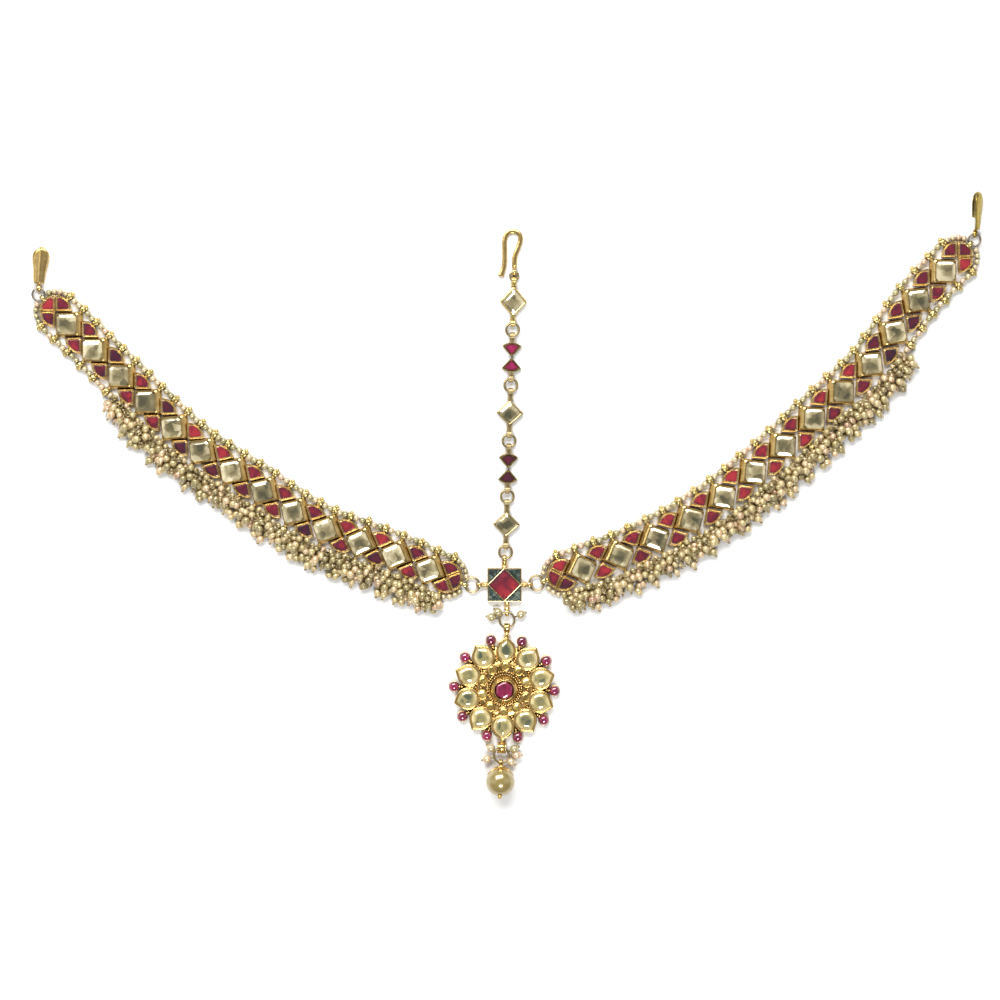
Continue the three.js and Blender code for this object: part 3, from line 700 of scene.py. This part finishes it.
fringe = {
    "bunches": 21, "slide": 0.09, "loose": 0.42,
    # along the band in stations, away from its centre line, height, radius, share of bunches
    "pearls": [
        (-0.34, 6.0, 2.5, 1.05, 0.7), (0.02, 6.5, 3.2, 1.20, 0.85), (0.36, 6.1, 2.5, 1.05, 0.7),
        (-0.42, 7.6, 1.5, 1.34, 1), (-0.08, 7.8, 1.6, 1.42, 1), (0.26, 7.6, 1.5, 1.36, 1),
        (-0.26, 9.3, 1.5, 1.40, 1), (0.08, 9.6, 1.55, 1.44, 1), (0.42, 9.4, 1.5, 1.38, 1),
        (-0.44, 11.0, 1.45, 1.36, 0.95), (-0.1, 11.4, 1.5, 1.44, 1), (0.24, 11.1, 1.45, 1.38, 0.95),
        (-0.28, 12.9, 1.4, 1.28, 0.6), (0.1, 13.1, 1.4, 1.34, 0.65),
        (-0.25, 8.6, 3.3, 1.36, 0.9), (0.12, 8.5, 3.2, 1.30, 0.9), (0.45, 8.9, 3.2, 1.30, 0.8),
        (-0.05, 10.5, 3.1, 1.38, 0.9), (0.32, 10.4, 3.0, 1.34, 0.8)],
    "outer": 10.8, "long": (0.9, 1.24, 0.92), "tipReach": 14.6, "pinHead": 0.48,
    # gold beads and wire coils among the pearls: how many, first station, away, height
    "beads": (110, -0.2, (5.6, 12.2), (2.2, 3.8)), "beadRadius": 0.46,
    "coils": (110, -0.1, (5.8, 9.8), (3.2, 4.5)), "coil": (0.7, 0.17), "coilTip": 35,
}


# pearls hung in bunches from the loops of the lower string, with ball-headed pins at the tips
def buildFringe(side, route):
    pearl = ball(1.0, 12, 8)
    pearls, pins = [], []
    n = fringe["bunches"]
    for along, away, lift, radius, share in fringe["pearls"]:
        u = np.arange(n) + along + vary(-1, 1, n) * fringe["slide"]
        offset = away + vary(-1, 1, n) * fringe["loose"]
        outer = away > fringe["outer"] and lift < 2
        long = seeded.random(n) < (0.45 if outer else 0.2)
        stretch = np.ones((n, 3))
        stretch[long] = fringe["long"]
        size = radius * vary(0.84, 1.06, n)
        height = np.maximum(lift + vary(-0.05, 0.3, n), size + 0.03)
        spots, angles = route.put(u, 0, -offset, height)
        kept = seeded.random(n) < share
        kept[0] = kept[0] and along > -0.4
        kept[-1] = kept[-1] and away < 12
        turns = angles + vary(-0.6, 0.6, n)
        scales = stretch * size[:, None]
        tones = seeded.beta(1.6, 1.6, n)
        pearls.append(stamped(pearl, spots[kept], turns[kept], scales[kept], tones[kept]))
        if outer:
            tip = kept & (seeded.random(n) < 0.6)
            edge = np.minimum(offset + size * stretch[:, 1], fringe["tipReach"])
            spots, _ = route.put(u, 0, -(edge + 0.15), height)
            pins.append(stamped(ball(fringe["pinHead"], 10, 6), spots[tip], 0,
                                vary(0.8, 1.2, tip.sum()), 0.4))

    def scattered(count, first, away, height):
        u = vary(first, n - 0.6, count)
        return route.put(u, 0, -vary(*away, count), vary(*height, count))[0]

    spots = scattered(*fringe["beads"])
    pins.append(stamped(ball(fringe["beadRadius"], 8, 5), spots, 0, vary(0.7, 1.25, len(spots))))
    spots = scattered(*fringe["coils"])
    coil = tipped(wireRing(*fringe["coil"], 14, 6), fringe["coilTip"], 0)
    pins.append(stamped(coil, spots, vary(0, 6.28, len(spots))))
    makePiece(f"{side}FringePearls", pearls, "fringePearl", (f"{side}_fringe",))
    makePiece(f"{side}FringePins", pins, "darkGold")


routes = {side: Route(side) for side in ("left", "right")}
for side, route in routes.items():
    buildDiamonds(side, route)
    buildLoops(side, route, buildRubies(side, route))
    buildSeedPearls(side, route)
    buildFringe(side, route)
    print(side, "band made")


# Centre chain

chain = {
    "tilt": -1.8, "start": 8.4, "pitch": 17.8, "ring": 2.05, "wire": 0.42, "links": 5,
    "diamondReach": 4.5, "fanReach": 4.7, "fanHalf": 42, "fanRim": 1.6, "fanWall": 0.68,
    "fanTones": [-0.18, -0.12, 0.0, 0.06, 0.1], "rubyTones": {1: 0.04, 3: 0.5},
    "hookRing": 1.35, "hookWire": 0.36, "studIn": 0.35, "eyeGap": 0.8,
    # lengthening and tone of the diamonds, and of the topmost
    "tall": (0.94, 1.13), "tones": (0.34, 0.42),
}


# shape put at y along the chain, up from the square's middle
def placeOnChain(shape, y):
    return placed(shape, (0, 0), y, chain["tilt"])


# links from the square up, diamonds and pairs of rubies by turns; the topmost is brighter
def buildChain():
    settings, wornSettings, diamonds, rubies, rings = [], [], [], [], []
    half = chain["pitch"] / 2 - chain["ring"]
    reach, fanReach = chain["diamondReach"], chain["fanReach"]
    chainEye = tube(eye["radius"], eye["bore"], eye["chainWidth"])
    setting, *settingFaces = stepped(cutOutline(reach, 0.05), [
        [0.97, 0.0], [1.0, 0.15], [1.0, 1.1], [0.985, 1.75], [0.94, 2.0], [0.87, 2.05],
        [0.81, 1.98], [0.8, 1.5]])
    wall, ruby = fan(fanReach, chain["fanHalf"], chain["fanRim"], (0, fanReach * 0.6),
                     chain["fanWall"])
    ring = moved(wireRing(chain["ring"], chain["wire"]), 0, 0, eye["radius"])
    for i in range(chain["links"]):
        y = chain["start"] + chain["ring"] + chain["pitch"] * i
        middle = y + chain["pitch"] / 2
        topmost = int(i == chain["links"] - 1)
        metal = []
        rings.append(placeOnChain(ring, y))
        if i % 2 == 0:
            tall = np.array([1, chain["tall"][topmost], 1])
            stone = stepped(cutOutline(reach * 0.81, 0.1), [
                [1.0, 1.5, 0], [1.0, 2.0, 0], [0.72, 2.38, 0.4], [0.5, 2.52, 0.8],
                [0.22, 2.6, 1]], shift=vary(-0.5, 0.5, 2))
            stone = toned(stone, chain["tones"][topmost], [0.08, 0.08, 0.14, -0.05, -0.16])
            # painted shade: each diamond darker on its left side and lighter on its right
            points, *rest = graded(stone, (1, 0.2), 0.2, reach)
            diamonds.append(placeOnChain((points * tall, *rest), middle))
            metal.append((setting * tall, *settingFaces))
            edge = reach * tall[1]
        else:
            stone = toned(ruby, chain["rubyTones"][i], chain["fanTones"])
            for offset, way in ((0.05, 0), (-0.05, 180)):
                metal.append(moved(wall, 0, offset, 0, way))
                rubies.append(placeOnChain(moved(stone, 0, offset, 0, way), middle))
            edge = fanReach
        for way in (0, 180):
            metal += studdedEye(half, edge - chain["studIn"], way, shape=chainEye,
                                gap=chain["eyeGap"])
        (settings if topmost else wornSettings).extend(placeOnChain(s, middle) for s in metal)
    top = chain["start"] + chain["pitch"] * chain["links"] + chain["hookRing"]
    hookRing = moved(wireRing(chain["hookRing"], chain["hookWire"], 28, 8), 0, 0, eye["radius"])
    rings.append(placeOnChain(hookRing, top))
    makePiece("chainTopSetting", settings, "oliveGold", ("chain_diamond_1",), flat=True)
    makePiece("chainSettings", wornSettings, "darkGold",
              ("chain_diamond_2", "chain_diamond_3", "chain_ruby_1", "chain_ruby_2"), flat=True)
    makePiece("chainDiamonds", diamonds, "flatDiamond", flat=True)
    makePiece("chainRubies", rubies, "pinkRuby", flat=True)
    makePiece("chainRings", rings, "darkGold",
              (*(f"chain_ring_{i}" for i in range(1, chain["links"] + 1)), "hook_ring"))
    buildHairHook(top + chain["hookRing"])


hairHook = {
    "spacing": 5, "shift": -0.8, "height": 13, "width": 0.8, "thick": 0.5, "tip": -1.6,
    "steps": 90, "lift": 0.7, "flare": 0.25,
}


# flat strip carried round the hook's curve, its section |x|^(2/0.7) + |y|^(2/0.7) = 1 and its
# free end flared
def buildHairHook(y):
    x = hairHook["spacing"] / 2
    top = hairHook["height"] - x
    arch = np.array([
        (x * 0.88, top * 0.86), (x, top), (x * 0.72, top + x * 0.72), (0, top + x),
        (-x * 0.72, top + x * 0.72), (-x, top), (-x, top * 0.6), (-x * 1.03, top * 0.15),
        (-x * 1.4, hairHook["tip"])])
    line = np.vstack([[(0, 1.4), (0, top * 0.45)], arch + [hairHook["shift"], 0]])
    knots = np.concatenate([[0], np.cumsum(np.linalg.norm(np.diff(line, axis=0), axis=1))])
    path, _ = cubicCurve(line, knots, np.linspace(0, knots[-1], hairHook["steps"]))
    t = np.linspace(0, 1, hairHook["steps"])
    flare = 1 + hairHook["flare"] * np.clip((t - 0.93) / 0.07, 0, 1)
    a = circle(16)
    section = np.sign(a) * np.abs(a) ** 0.7
    strip = carried(lifted(path, hairHook["lift"]), section, wide=hairHook["width"] * flare,
                    thick=hairHook["thick"])
    neck = bar((0, 0.8, eye["radius"]), (0, 2.4, 0.9), 0.6, 12)
    shapes = (strip, neck, moved(eyeTube, 0, 0, eye["radius"]))
    makePiece("hairHookStrip", [placeOnChain(shape, y) for shape in shapes], "gold",
              ("hair_hook",))


buildChain()
print("centre chain made")


# Centre square

square = {
    "side": 10.9, "stone": 5.0, "topEye": 8.4, "sideEye": 8.0, "bottomEye": 8.9,
    "bottomShift": 0.8, "rib": 0.17, "stud": 0.85,
}


# tray, ribs round the stone, four dark corners, the stone on its corner, and four eyes
def buildSquare():
    half = square["side"] / 2
    outline = np.array([[half, -half], [half, half], [-half, half], [-half, -half]])
    ribs = lifted(circle(4) * (square["stone"] + 0.2), 2.1)
    goldParts = [stepped(outline, [
        [0.99, 0], [1, 0.12], [1, 1.5], [0.99, 2.1], [0.95, 2.14], [0.94, 2.05], [0.935, 1.6]])]
    leg = half * 0.94 - 0.05
    corner = np.array([[leg, 0.42], [leg, leg], [0.42, leg]])
    block = stepped(corner, [[1, 1.3], [0.98, 1.85], [0.8, 2.0]], corner.mean(axis=0))
    corners = []
    for i in range(4):
        goldParts.append(bar(ribs[i], ribs[(i + 1) % 4], square["rib"], 8))
        corners.append(toned(moved(block, turn=90 * i), 0.3 + 0.1 * i))
    stone = stepped(cutOutline(square["stone"], 0.03), [
        [0.965, 1.4, 0], [0.96, 2.12, 0], [0.62, 2.42, 0.5], [0.3, 2.6, 1]], shift=(0.35, 0.25))
    # painted light and shade: the stone lighter towards its lower right and darker at its upper
    # left
    stone = graded(toned(stone, 0.68, [-0.1, -0.1, 0.05, -0.05]), (0.6, -1), 0.26, square["stone"])
    eyes = []
    for turn, name, x in ((0, "topEye", 0), (90, "sideEye", 0),
                          (180, "bottomEye", -square["bottomShift"]), (270, "sideEye", 0)):
        eyes += studdedEye(square[name], half - 0.1, turn, x, square["stud"])
    makePiece("squareTray", goldParts, "paleGold", ("centre_square",), flat=True)
    makePiece("squareCorners", corners, "greenCorner", flat=True)
    makePiece("squareStone", [stone], "ruby", flat=True)
    makePiece("squareEyes", eyes, "gold")


buildSquare()
print("centre square made")


# Rings between the pieces, and the side hooks

endRing = {"radius": 1.95, "wire": 0.345, "jointWire": 0.37, "endWire": 0.42}
sideHook = {
    "length": 13.4, "width": 5.2, "neck": 3.6, "wall": 0.26, "crown": 0.2, "fold": 0.13,
    "halfDepth": 1.19, "start": 1.4, "backEnd": 0.38, "neckWire": 0.55, "rest": 0.03, "tilt": -4,
    # the right hook's finish is the gold darkened as painted shade
    "roll": {"left": 0, "right": 58}, "finish": {"left": "gold", "right": "shadedGold"},
}


# a ring from the square's eye to each band's inner eye, and beyond each outer eye a ring whose
# wire ends lie side by side, with its hook
def buildRings():
    rings, steel = [], []
    radius, lift = endRing["radius"], eye["radius"]
    for side, route in routes.items():
        (innerEye, _), (outerEye, away) = (
            (place + away * reach, away) for place, away, _, reach in route.ends())
        other = np.array([route.sign * square["sideEye"], 0.0])
        jointRing = wireRing(np.linalg.norm(innerEye - other) / 2, endRing["jointWire"])
        rings.append(moved(jointRing, *((innerEye + other) / 2), lift))
        middle = outerEye + away * radius
        ends = bar((-0.5, radius, 0), (0.6, 1.8, 0), endRing["endWire"], 10)
        steel += [moved(part, *middle, lift) for part in (wireRing(radius, endRing["wire"]), ends)]
        buildSideHook(side, middle)
    makePiece("jointRings", rings, "darkGold", ("left_joint_ring", "right_joint_ring"))
    makePiece("endRings", steel, "darkSteel", ("left_end_ring", "right_end_ring"))


# strip carried round a hairpin seen from the side; its half width grows to the paddle and
# closes on a round end, and its face is crowned across the width with a low fold along the middle
def buildSideHook(side, ringMiddle):
    top, half, neckHalf = sideHook["length"], sideHook["width"] / 2, sideHook["neck"] / 2
    skin = sideHook["wall"] + sideHook["crown"] + sideHook["fold"]
    d = sideHook["halfDepth"] - skin  # half the gap between the two legs
    bend = np.linspace(0, np.pi, 17)
    turnY = top - skin - 0.02 - d
    y = np.concatenate([np.linspace(sideHook["start"], turnY, 24)[:-1], turnY + d * np.sin(bend),
                        np.linspace(turnY, top * sideHook["backEnd"], 12)[1:]])
    z = np.concatenate([np.full(23, d), d * np.cos(bend), np.full(11, -d)])
    widths = np.interp(y / top, [0.1, 0.18, 0.45, 0.67, 0.8],
                       [neckHalf * 0.9, neckHalf, (2 * neckHalf + half) / 3, half, half])
    beyond = np.clip((y - (y.max() - half)) / half, 0, 1)
    widths = widths * np.sqrt(1 - 0.95 * beyond ** 2)
    across = np.linspace(-1, 1, 25)
    crown = sideHook["crown"] * (1 - across ** 2)
    skinHalf = sideHook["wall"] * (1 - across ** 8) + 0.02
    fold = sideHook["fold"] * np.exp(-(across / 0.11) ** 2)
    outer = np.column_stack([crown + skinHalf + fold, across])
    inner = np.column_stack([crown - skinHalf, across])
    path = np.column_stack([np.zeros(len(y)), y, z])
    strip = carried(path, np.vstack([outer[::-1], inner[1:-1]]), (1, 0, 0), thick=widths)
    roll, tilt = sideHook["roll"][side], sideHook["tilt"]
    strip = tipped(strip, 0, roll)
    lift = sideHook["rest"] - eye["radius"] - strip[0][:, 2].min()
    neckEnd = (d * np.sin(roll * degree), 2.1, d * np.cos(roll * degree) + lift)
    shapes = (moved(strip, 0, 0, lift), bar((0, 0.8, 0), neckEnd, sideHook["neckWire"], 12),
              tube(1.18, eye["bore"], eye["width"]))
    x = ringMiddle[0] - endRing["radius"] * np.sin(tilt * degree)
    y = ringMiddle[1] + endRing["radius"] * np.cos(tilt * degree)
    makePiece(f"{side}HookStrip", [moved(shape, x, y, eye["radius"], tilt) for shape in shapes],
              sideHook["finish"][side], (f"{side}_side_hook",))


buildRings()
print("rings and side hooks made")


# Pendant and drop

pendant = {
    "tilt": -2.5, "bail": 19.5, "tube": 18.9, "petals": 10, "petalCentre": 12.35,
    "petalWidth": 7.6, "petalLength": 8.9, "plate": 13.6, "rubyCentre": 16.1,
    "innerCentre": 7.35, "saucer": 4.4, "ring": 2.4, "wire": 0.37, "drop": 0.5,
    "stem": ((0, 12.8, 0.8), (0, 15.2, 0.8)), "stemWire": 0.7, "neckWire": 0.8,
    # radius, bore and width
    "bailSize": (1.45, 0.82, 1.9), "tubeSize": (1.75, 0.9, 2.6), "tubeRim": (1.84, 1.3, 0.35),
    # profiles of [radius, height]: the small diamonds, the round rubies, the raised middle
    "innerWall": [[0, 0.9], [1.6, 0.9], [1.8, 1.3], [1.8, 2.0], [1.72, 2.24], [1.52, 2.32],
                  [1.36, 2.2], [0, 1.9]],
    "innerDome": [[0, 1.8], [1.38, 1.8], [1.38, 2.2], [1.2, 2.48], [0.72, 2.68], [0, 2.74]],
    "cup": [[0, 0], [1.4, 0], [1.7, 0.5], [1.78, 1.1], [1.76, 1.36], [1.66, 1.46], [1.5, 1.4],
            [0, 1.3]],
    "cabochon": [[0, 1.1], [1.58, 1.1], [1.66, 1.45], [1.56, 1.95], [1.22, 2.42], [0.66, 2.7],
                 [0, 2.78]],
    "mound": [[0, 0.8], [9.2, 0.8], [9.4, 1.2], [9.0, 1.5], [5.6, 1.6], [0, 1.6]],
    # the saucer's profile, its radii as shares of its own
    "saucerRim": [[0, 0.9], [1, 0.9], [1.02, 1.5], [0.99, 2.05], [0.92, 2.5], [0.82, 2.82],
                  [0.775, 2.9], [0.775, 3.2], [0.76, 3.4], [0.73, 3.46], [0.7, 3.38],
                  [0.69, 3.1], [0, 3.0]],
    # grains between the petals: distance, angle to one side, height, radius
    "grains": [
        (9.3, -7, 1.85, 0.45), (9.3, 0, 1.85, 0.45), (9.3, 7, 1.85, 0.45),
        (5.45, -12, 1.85, 0.42), (5.45, -4, 1.85, 0.42), (5.45, 4, 1.85, 0.42),
        (5.45, 12, 1.85, 0.42), (10.1, 0, 1.8, 0.45), (10.9, 0, 1.8, 0.4), (13.6, 0, 1.5, 0.45),
        (14.3, 0, 1.5, 0.5), (7.5, 0, 1.9, 0.5)],
}
hangPoint = np.array([square["bottomShift"], -square["bottomEye"] - 2 * pendant["ring"]])


# shape put at y along the pendant's line, up from the middle of its bail
def placeHanging(shape, y=0.0):
    return placed(shape, hangPoint, y, pendant["tilt"])


# tear outline with its point towards +Y: a circle and the two lines from the point that touch it
def tearOutline(width, length):
    r = width / 2
    c = r - 0.46 * length
    touch = np.arccos(r / (length / 2 - c))
    a = np.linspace(touch, 2 * np.pi - touch, 27)
    arc = np.column_stack([-r * np.sin(a), c + r * np.cos(a)])
    tip = np.array([0, length / 2])
    left = tip + (arc[0] - tip) * np.array([[0.06], [0.5]])
    right = tip + (arc[-1] - tip) * np.array([[0.5], [0.06]])
    return np.vstack([[tip - [0, 0.08]], left, arc, right])


# wall and domed diamond of a petal, made narrower by a factor
def pendantPetal(narrow):
    tear = tearOutline(pendant["petalWidth"], pendant["petalLength"]) * [narrow, 1]
    wall = stepped(tear, [
        [0.95, 0], [0.98, 0.3], [1.0, 1.5], [1.0, 2.1], [0.98, 2.28], [0.94, 2.36],
        [0.87, 2.34], [0.81, 2.24], [0.795, 2.1], [0.79, 1.7]])
    dome = stepped(tear, [
        [0.80, 1.9], [0.795, 2.15], [0.75, 2.4], [0.65, 2.68], [0.5, 2.92], [0.3, 3.05]], top=3.08)
    return wall, dome


# plate, ten petals with a small diamond inside each and a round ruby between, grains, the
# saucer with its six-sided ruby, the bail above and the tube below
def buildPendant():
    step = 360 / pendant["petals"]
    wave = 1 + 0.02 * np.cos(np.arange(120) * 2 * np.pi / 120 * 20)
    goldParts = [stepped(circle(120) * wave[:, None] * pendant["plate"],
                         [[0.98, 0], [1, 0.12], [1, 0.9], [0.985, 1.2]])]
    petals, champagnes, rubies = [], [], []
    innerWall, cup = turned(pendant["innerWall"], 20), turned(pendant["cup"], 20)
    innerDome, cabochon = turned(pendant["innerDome"], 8), turned(pendant["cabochon"], 18)
    grain = ball(1.0, 8, 5)
    distances, offsets, heights, sizes = np.array(pendant["grains"]).T
    for i in range(pendant["petals"]):
        a = i * step
        half = a + step / 2
        wall, dome = pendantPetal(0.84 if i == 0 else vary(0.96, 1.01))
        dome = toned(around(dome, a, pendant["petalCentre"]), 0.0,
                     [0.12, 0.12, 0.18, 0.13, -0.1, -0.33])
        # painted light: each petal diamond lighter towards its lower side, where light through the
        # dome pools, and darker at its upper side
        *petal, tones = graded(dome, (0.35, -1), 0.14, 4)
        petals.append((*petal, tones + vary(0.46, 0.63)))
        champagnes.append(toned(around(innerDome, a, pendant["innerCentre"]), vary(0.36, 0.84)))
        ruby = toned(around(cabochon, half, pendant["rubyCentre"]), vary(0.25, 0.62))
        # painted light: each round ruby lighter towards its lower side and darker at its top
        rubies.append(graded(ruby, (0.3, -1), 0.14, 1.6))
        spots = onCircle((half + offsets) * degree + np.pi / 2) * distances[:, None]
        goldParts += [
            around(wall, a, pendant["petalCentre"]), around(innerWall, a, pendant["innerCentre"]),
            around(cup, half, pendant["rubyCentre"]),
            moved(bar(*pendant["stem"], pendant["stemWire"], 10), turn=half),
            stamped(grain, lifted(spots, heights), 0, sizes)]
    k, down = pendant["saucer"], pendant["drop"]
    saucer = turned(np.array(pendant["saucerRim"]) * [k, 1], 60)
    centre = stepped(cutOutline(k * 0.69, 0.14, 6, np.pi / 6),
                     [[1, 3.0], [0.99, 3.36], [0.82, 3.62], [0.45, 3.7]], top=3.72)
    # painted light: the six-sided ruby lighter towards its lower side and darker at its top
    centre = graded(toned(centre, 0.52, [-0.1, -0.1, 0.06, 0.0]), (0.2, -1), 0.16, k * 0.7)
    rubies.append(moved(centre, 0, -down))
    beads = lifted(circle(40) * k * 1.1 - [0, down * 0.5], 1.75)
    bail, hanging = pendant["bail"], pendant["tube"]
    goldParts += [
        turned(pendant["mound"], 60), moved(saucer, 0, -down), stamped(grain, beads, 0, 0.36),
        moved(tube(*pendant["bailSize"], 24), 0, bail, 1.5),
        bar((0, bail - 1.1, 1.2), (0, 15.6, 1.2), pendant["neckWire"], 10),
        bar((0, -15.4, 1.4), (0, -hanging + 1.0, 1.7), pendant["stemWire"], 10),
        moved(tube(*pendant["tubeSize"], 28), 0, -hanging, 1.85),
        *(moved(tube(*pendant["tubeRim"], 28), x, -hanging, 1.86) for x in (-1.25, 1.25))]
    for name, shapes, finish, nodes, flat in (
            ("Gold", goldParts, "gold", ("pendant",), False),
            ("Diamonds", petals, "petalDiamond", (), False),
            ("Champagnes", champagnes, "champagne", (), True),
            ("Rubies", rubies, "pinkRuby", (), False)):
        makePiece("pendant" + name, [placeHanging(shape, -bail) for shape in shapes], finish,
                  nodes, flat)


drop = {
    "pearl": 4.69, "eye": 6.5, "ringLift": 1.85, "small": 1.36,
    "capAngle": 44, "leaf": 24, "capOver": 1.02, "neck": 0.55, "endBall": 0.74,
    "collarWire": 0.2, "grain": 0.28, "grains": 14, "pinWire": 0.26, "pinBall": 0.42,
    "pinCap": 0.5,
    # x and y of the small pearls from the middle of their ring
    "dropRing": [(-3.5, 2.2), (-4.6, -1.4), (4, 2.2), (4.9, 0.2), (3.2, -2)],
    "pendantRing": [(-2.9, 2.5), (-5, 0.9), (4.5, 1.8)],
}


# cap of five leaves on the pearl: the angle from its top to its rim is
# capAngle + leaf * |cos(2.5 a)| round the axis, and a neck stands on its top
def leafedCap(r, sides=80):
    a = np.arange(sides) * 2 * np.pi / sides
    rim = (drop["capAngle"] + drop["leaf"] * np.abs(np.cos(2.5 * (a + np.pi / 2)))) * degree
    lean = np.linspace(1, 0.06, 12)[:, None] * rim
    dome = np.stack([np.sin(lean) * np.cos(a), np.sin(lean) * np.sin(a), np.cos(lean)], axis=-1)
    neckTop = drop["eye"] - 0.8
    neck = [lifted(circle(sides) * drop["neck"], z) for z in (r + 0.45, neckTop)]
    rings = np.concatenate([dome * r * drop["capOver"], neck])
    return loft(rings, (0, 0, r * 0.5), (0, 0, neckTop))


# wire ring with small pearls on it, each between two gold balls, on a pin to the ring
def pearledRing(name, node, centre, lift, place):
    ring = pendant["ring"]
    metal, beads = [moved(wireRing(ring, pendant["wire"]), 0, centre, lift)], []
    z = max(lift, drop["small"] + 0.03)
    for x, y in drop[name]:
        ux, uy = np.array([x, y]) / np.hypot(x, y)
        bead = ball(drop["small"], 16, 12, (0.98, 1.1, 0.98))
        bead = moved(bead, x, y + centre, z, np.degrees(np.arctan2(uy, ux)) - 90)
        beads.append(place(toned(bead, vary(0.4, 0.85))))
        metal += [
            moved(ball(drop["pinBall"], 10, 6), x + ux * 1.6, y + uy * 1.6 + centre, z),
            bar((ux * ring, uy * ring + centre, lift), (x * 0.9, y * 0.9 + centre, z),
                drop["pinWire"], 8),
            moved(ball(drop["pinCap"], 10, 6, (1, 0.6, 1)), x - ux * 1.4, y - uy * 1.4 + centre, z)]
    makePiece(name + "Wire", [place(shape) for shape in metal], "darkGold", (node,))
    makePiece(name + "Pearls", beads, "seedPearl")


# both pearled rings, and the large pearl leaning on the surface with its cap, collar of grains,
# eye above and ball below
def buildDrop():
    centre = -pendant["bail"] - pendant["tube"] - pendant["ring"]
    pearledRing("dropRing", "drop_ring", centre, drop["ringLift"], placeHanging)
    pearledRing("pendantRing", "pendant_ring", 0.0, eye["radius"],
                lambda shape: moved(shape, hangPoint[0], hangPoint[1] + pendant["ring"]))
    r = drop["pearl"]
    lean = np.degrees(np.arcsin((r - drop["ringLift"]) / drop["eye"]))
    y = centre - pendant["ring"] - drop["eye"] * np.cos(lean * degree)
    metal = [
        leafedCap(r), moved(ball(drop["endBall"], 16, 10), 0, 0, -r - 0.45),
        moved(wireRing(r * 0.5, drop["collarWire"], 40, 8), 0, 0, r * 0.9),
        stamped(ball(drop["grain"], 8, 5), lifted(circle(drop["grains"]) * r * 0.36, r * 0.98)),
        moved(tipped(eyeTube, 90, 0), 0, 0, drop["eye"])]

    def laid(shape):
        return placeHanging(moved(tipped(shape, -90 - lean, 0), 0, y, r))

    makePiece("dropPearlBead", [laid(ball(r, 48, 32))], "goldenPearl", ("drop_pearl",))
    makePiece("dropPearlCap", [laid(shape) for shape in metal], "gold")


buildPendant()
buildDrop()
print("pendant and drop made")


# Floor and lights

floorLook = {"size": 4.0, "height": -0.00002, "colors": ((0.93, 0.93, 0.92), (0.95, 0.95, 0.94))}


# square floor just under the jewel, with a faint clouding
def buildFloor():
    size, (first, second) = floorLook["size"], floorLook["colors"]
    mesh = bpy.data.meshes.new("floor")
    mesh.from_pydata([(x * size, y * size, floorLook["height"])
                      for x, y in ((-1, -1), (1, -1), (1, 1), (-1, 1))], [], [(0, 1, 2, 3)])
    finish = Finish("paleFloor")
    color = finish.ramp(finish.noise(3, 2, 0.5), [(0.3, first), (0.7, second)])
    finish.fill(finish.shader, {"Base Color": color, "Roughness": 0.7})
    mesh.materials.append(finish.material)
    addObject("floor", mesh)


# soft light of a given size, facing the jewel
def addLight(name, place, size, power, aim=(0, 0.03, 0)):
    data = bpy.data.lights.new(name, "AREA")
    data.shape = "RECTANGLE"
    data.size, data.size_y = size
    data.energy = power
    light = addObject(name, data)
    light.location = place
    light.rotation_euler = (Vector(aim) - Vector(place)).to_track_quat("-Z", "Y").to_euler()


lights = {
    "topSoft": {"place": (-0.12, 0.52, 0.62), "size": (0.85, 0.34), "power": 9.0},
    "lowSoft": {"place": (0.04, -0.40, 0.62), "size": (0.2, 0.12), "power": 2.6},
    "leftSoft": {"place": (-0.8, 0.0, 0.36), "size": (0.5, 1.2), "power": 1.2},
    "rightSoft": {"place": (0.8, 0.1, 0.36), "size": (0.5, 1.2), "power": 1.0},
}
buildFloor()
for name, look in lights.items():
    addLight(name, **look)
world = bpy.data.worlds.new("studio")
world.use_nodes = True
background = world.node_tree.nodes["Background"]
background.inputs["Color"].default_value = (0.95, 0.96, 1.0, 1)
background.inputs["Strength"].default_value = 0.2
bpy.context.scene.world = world
print("floor and lights made")
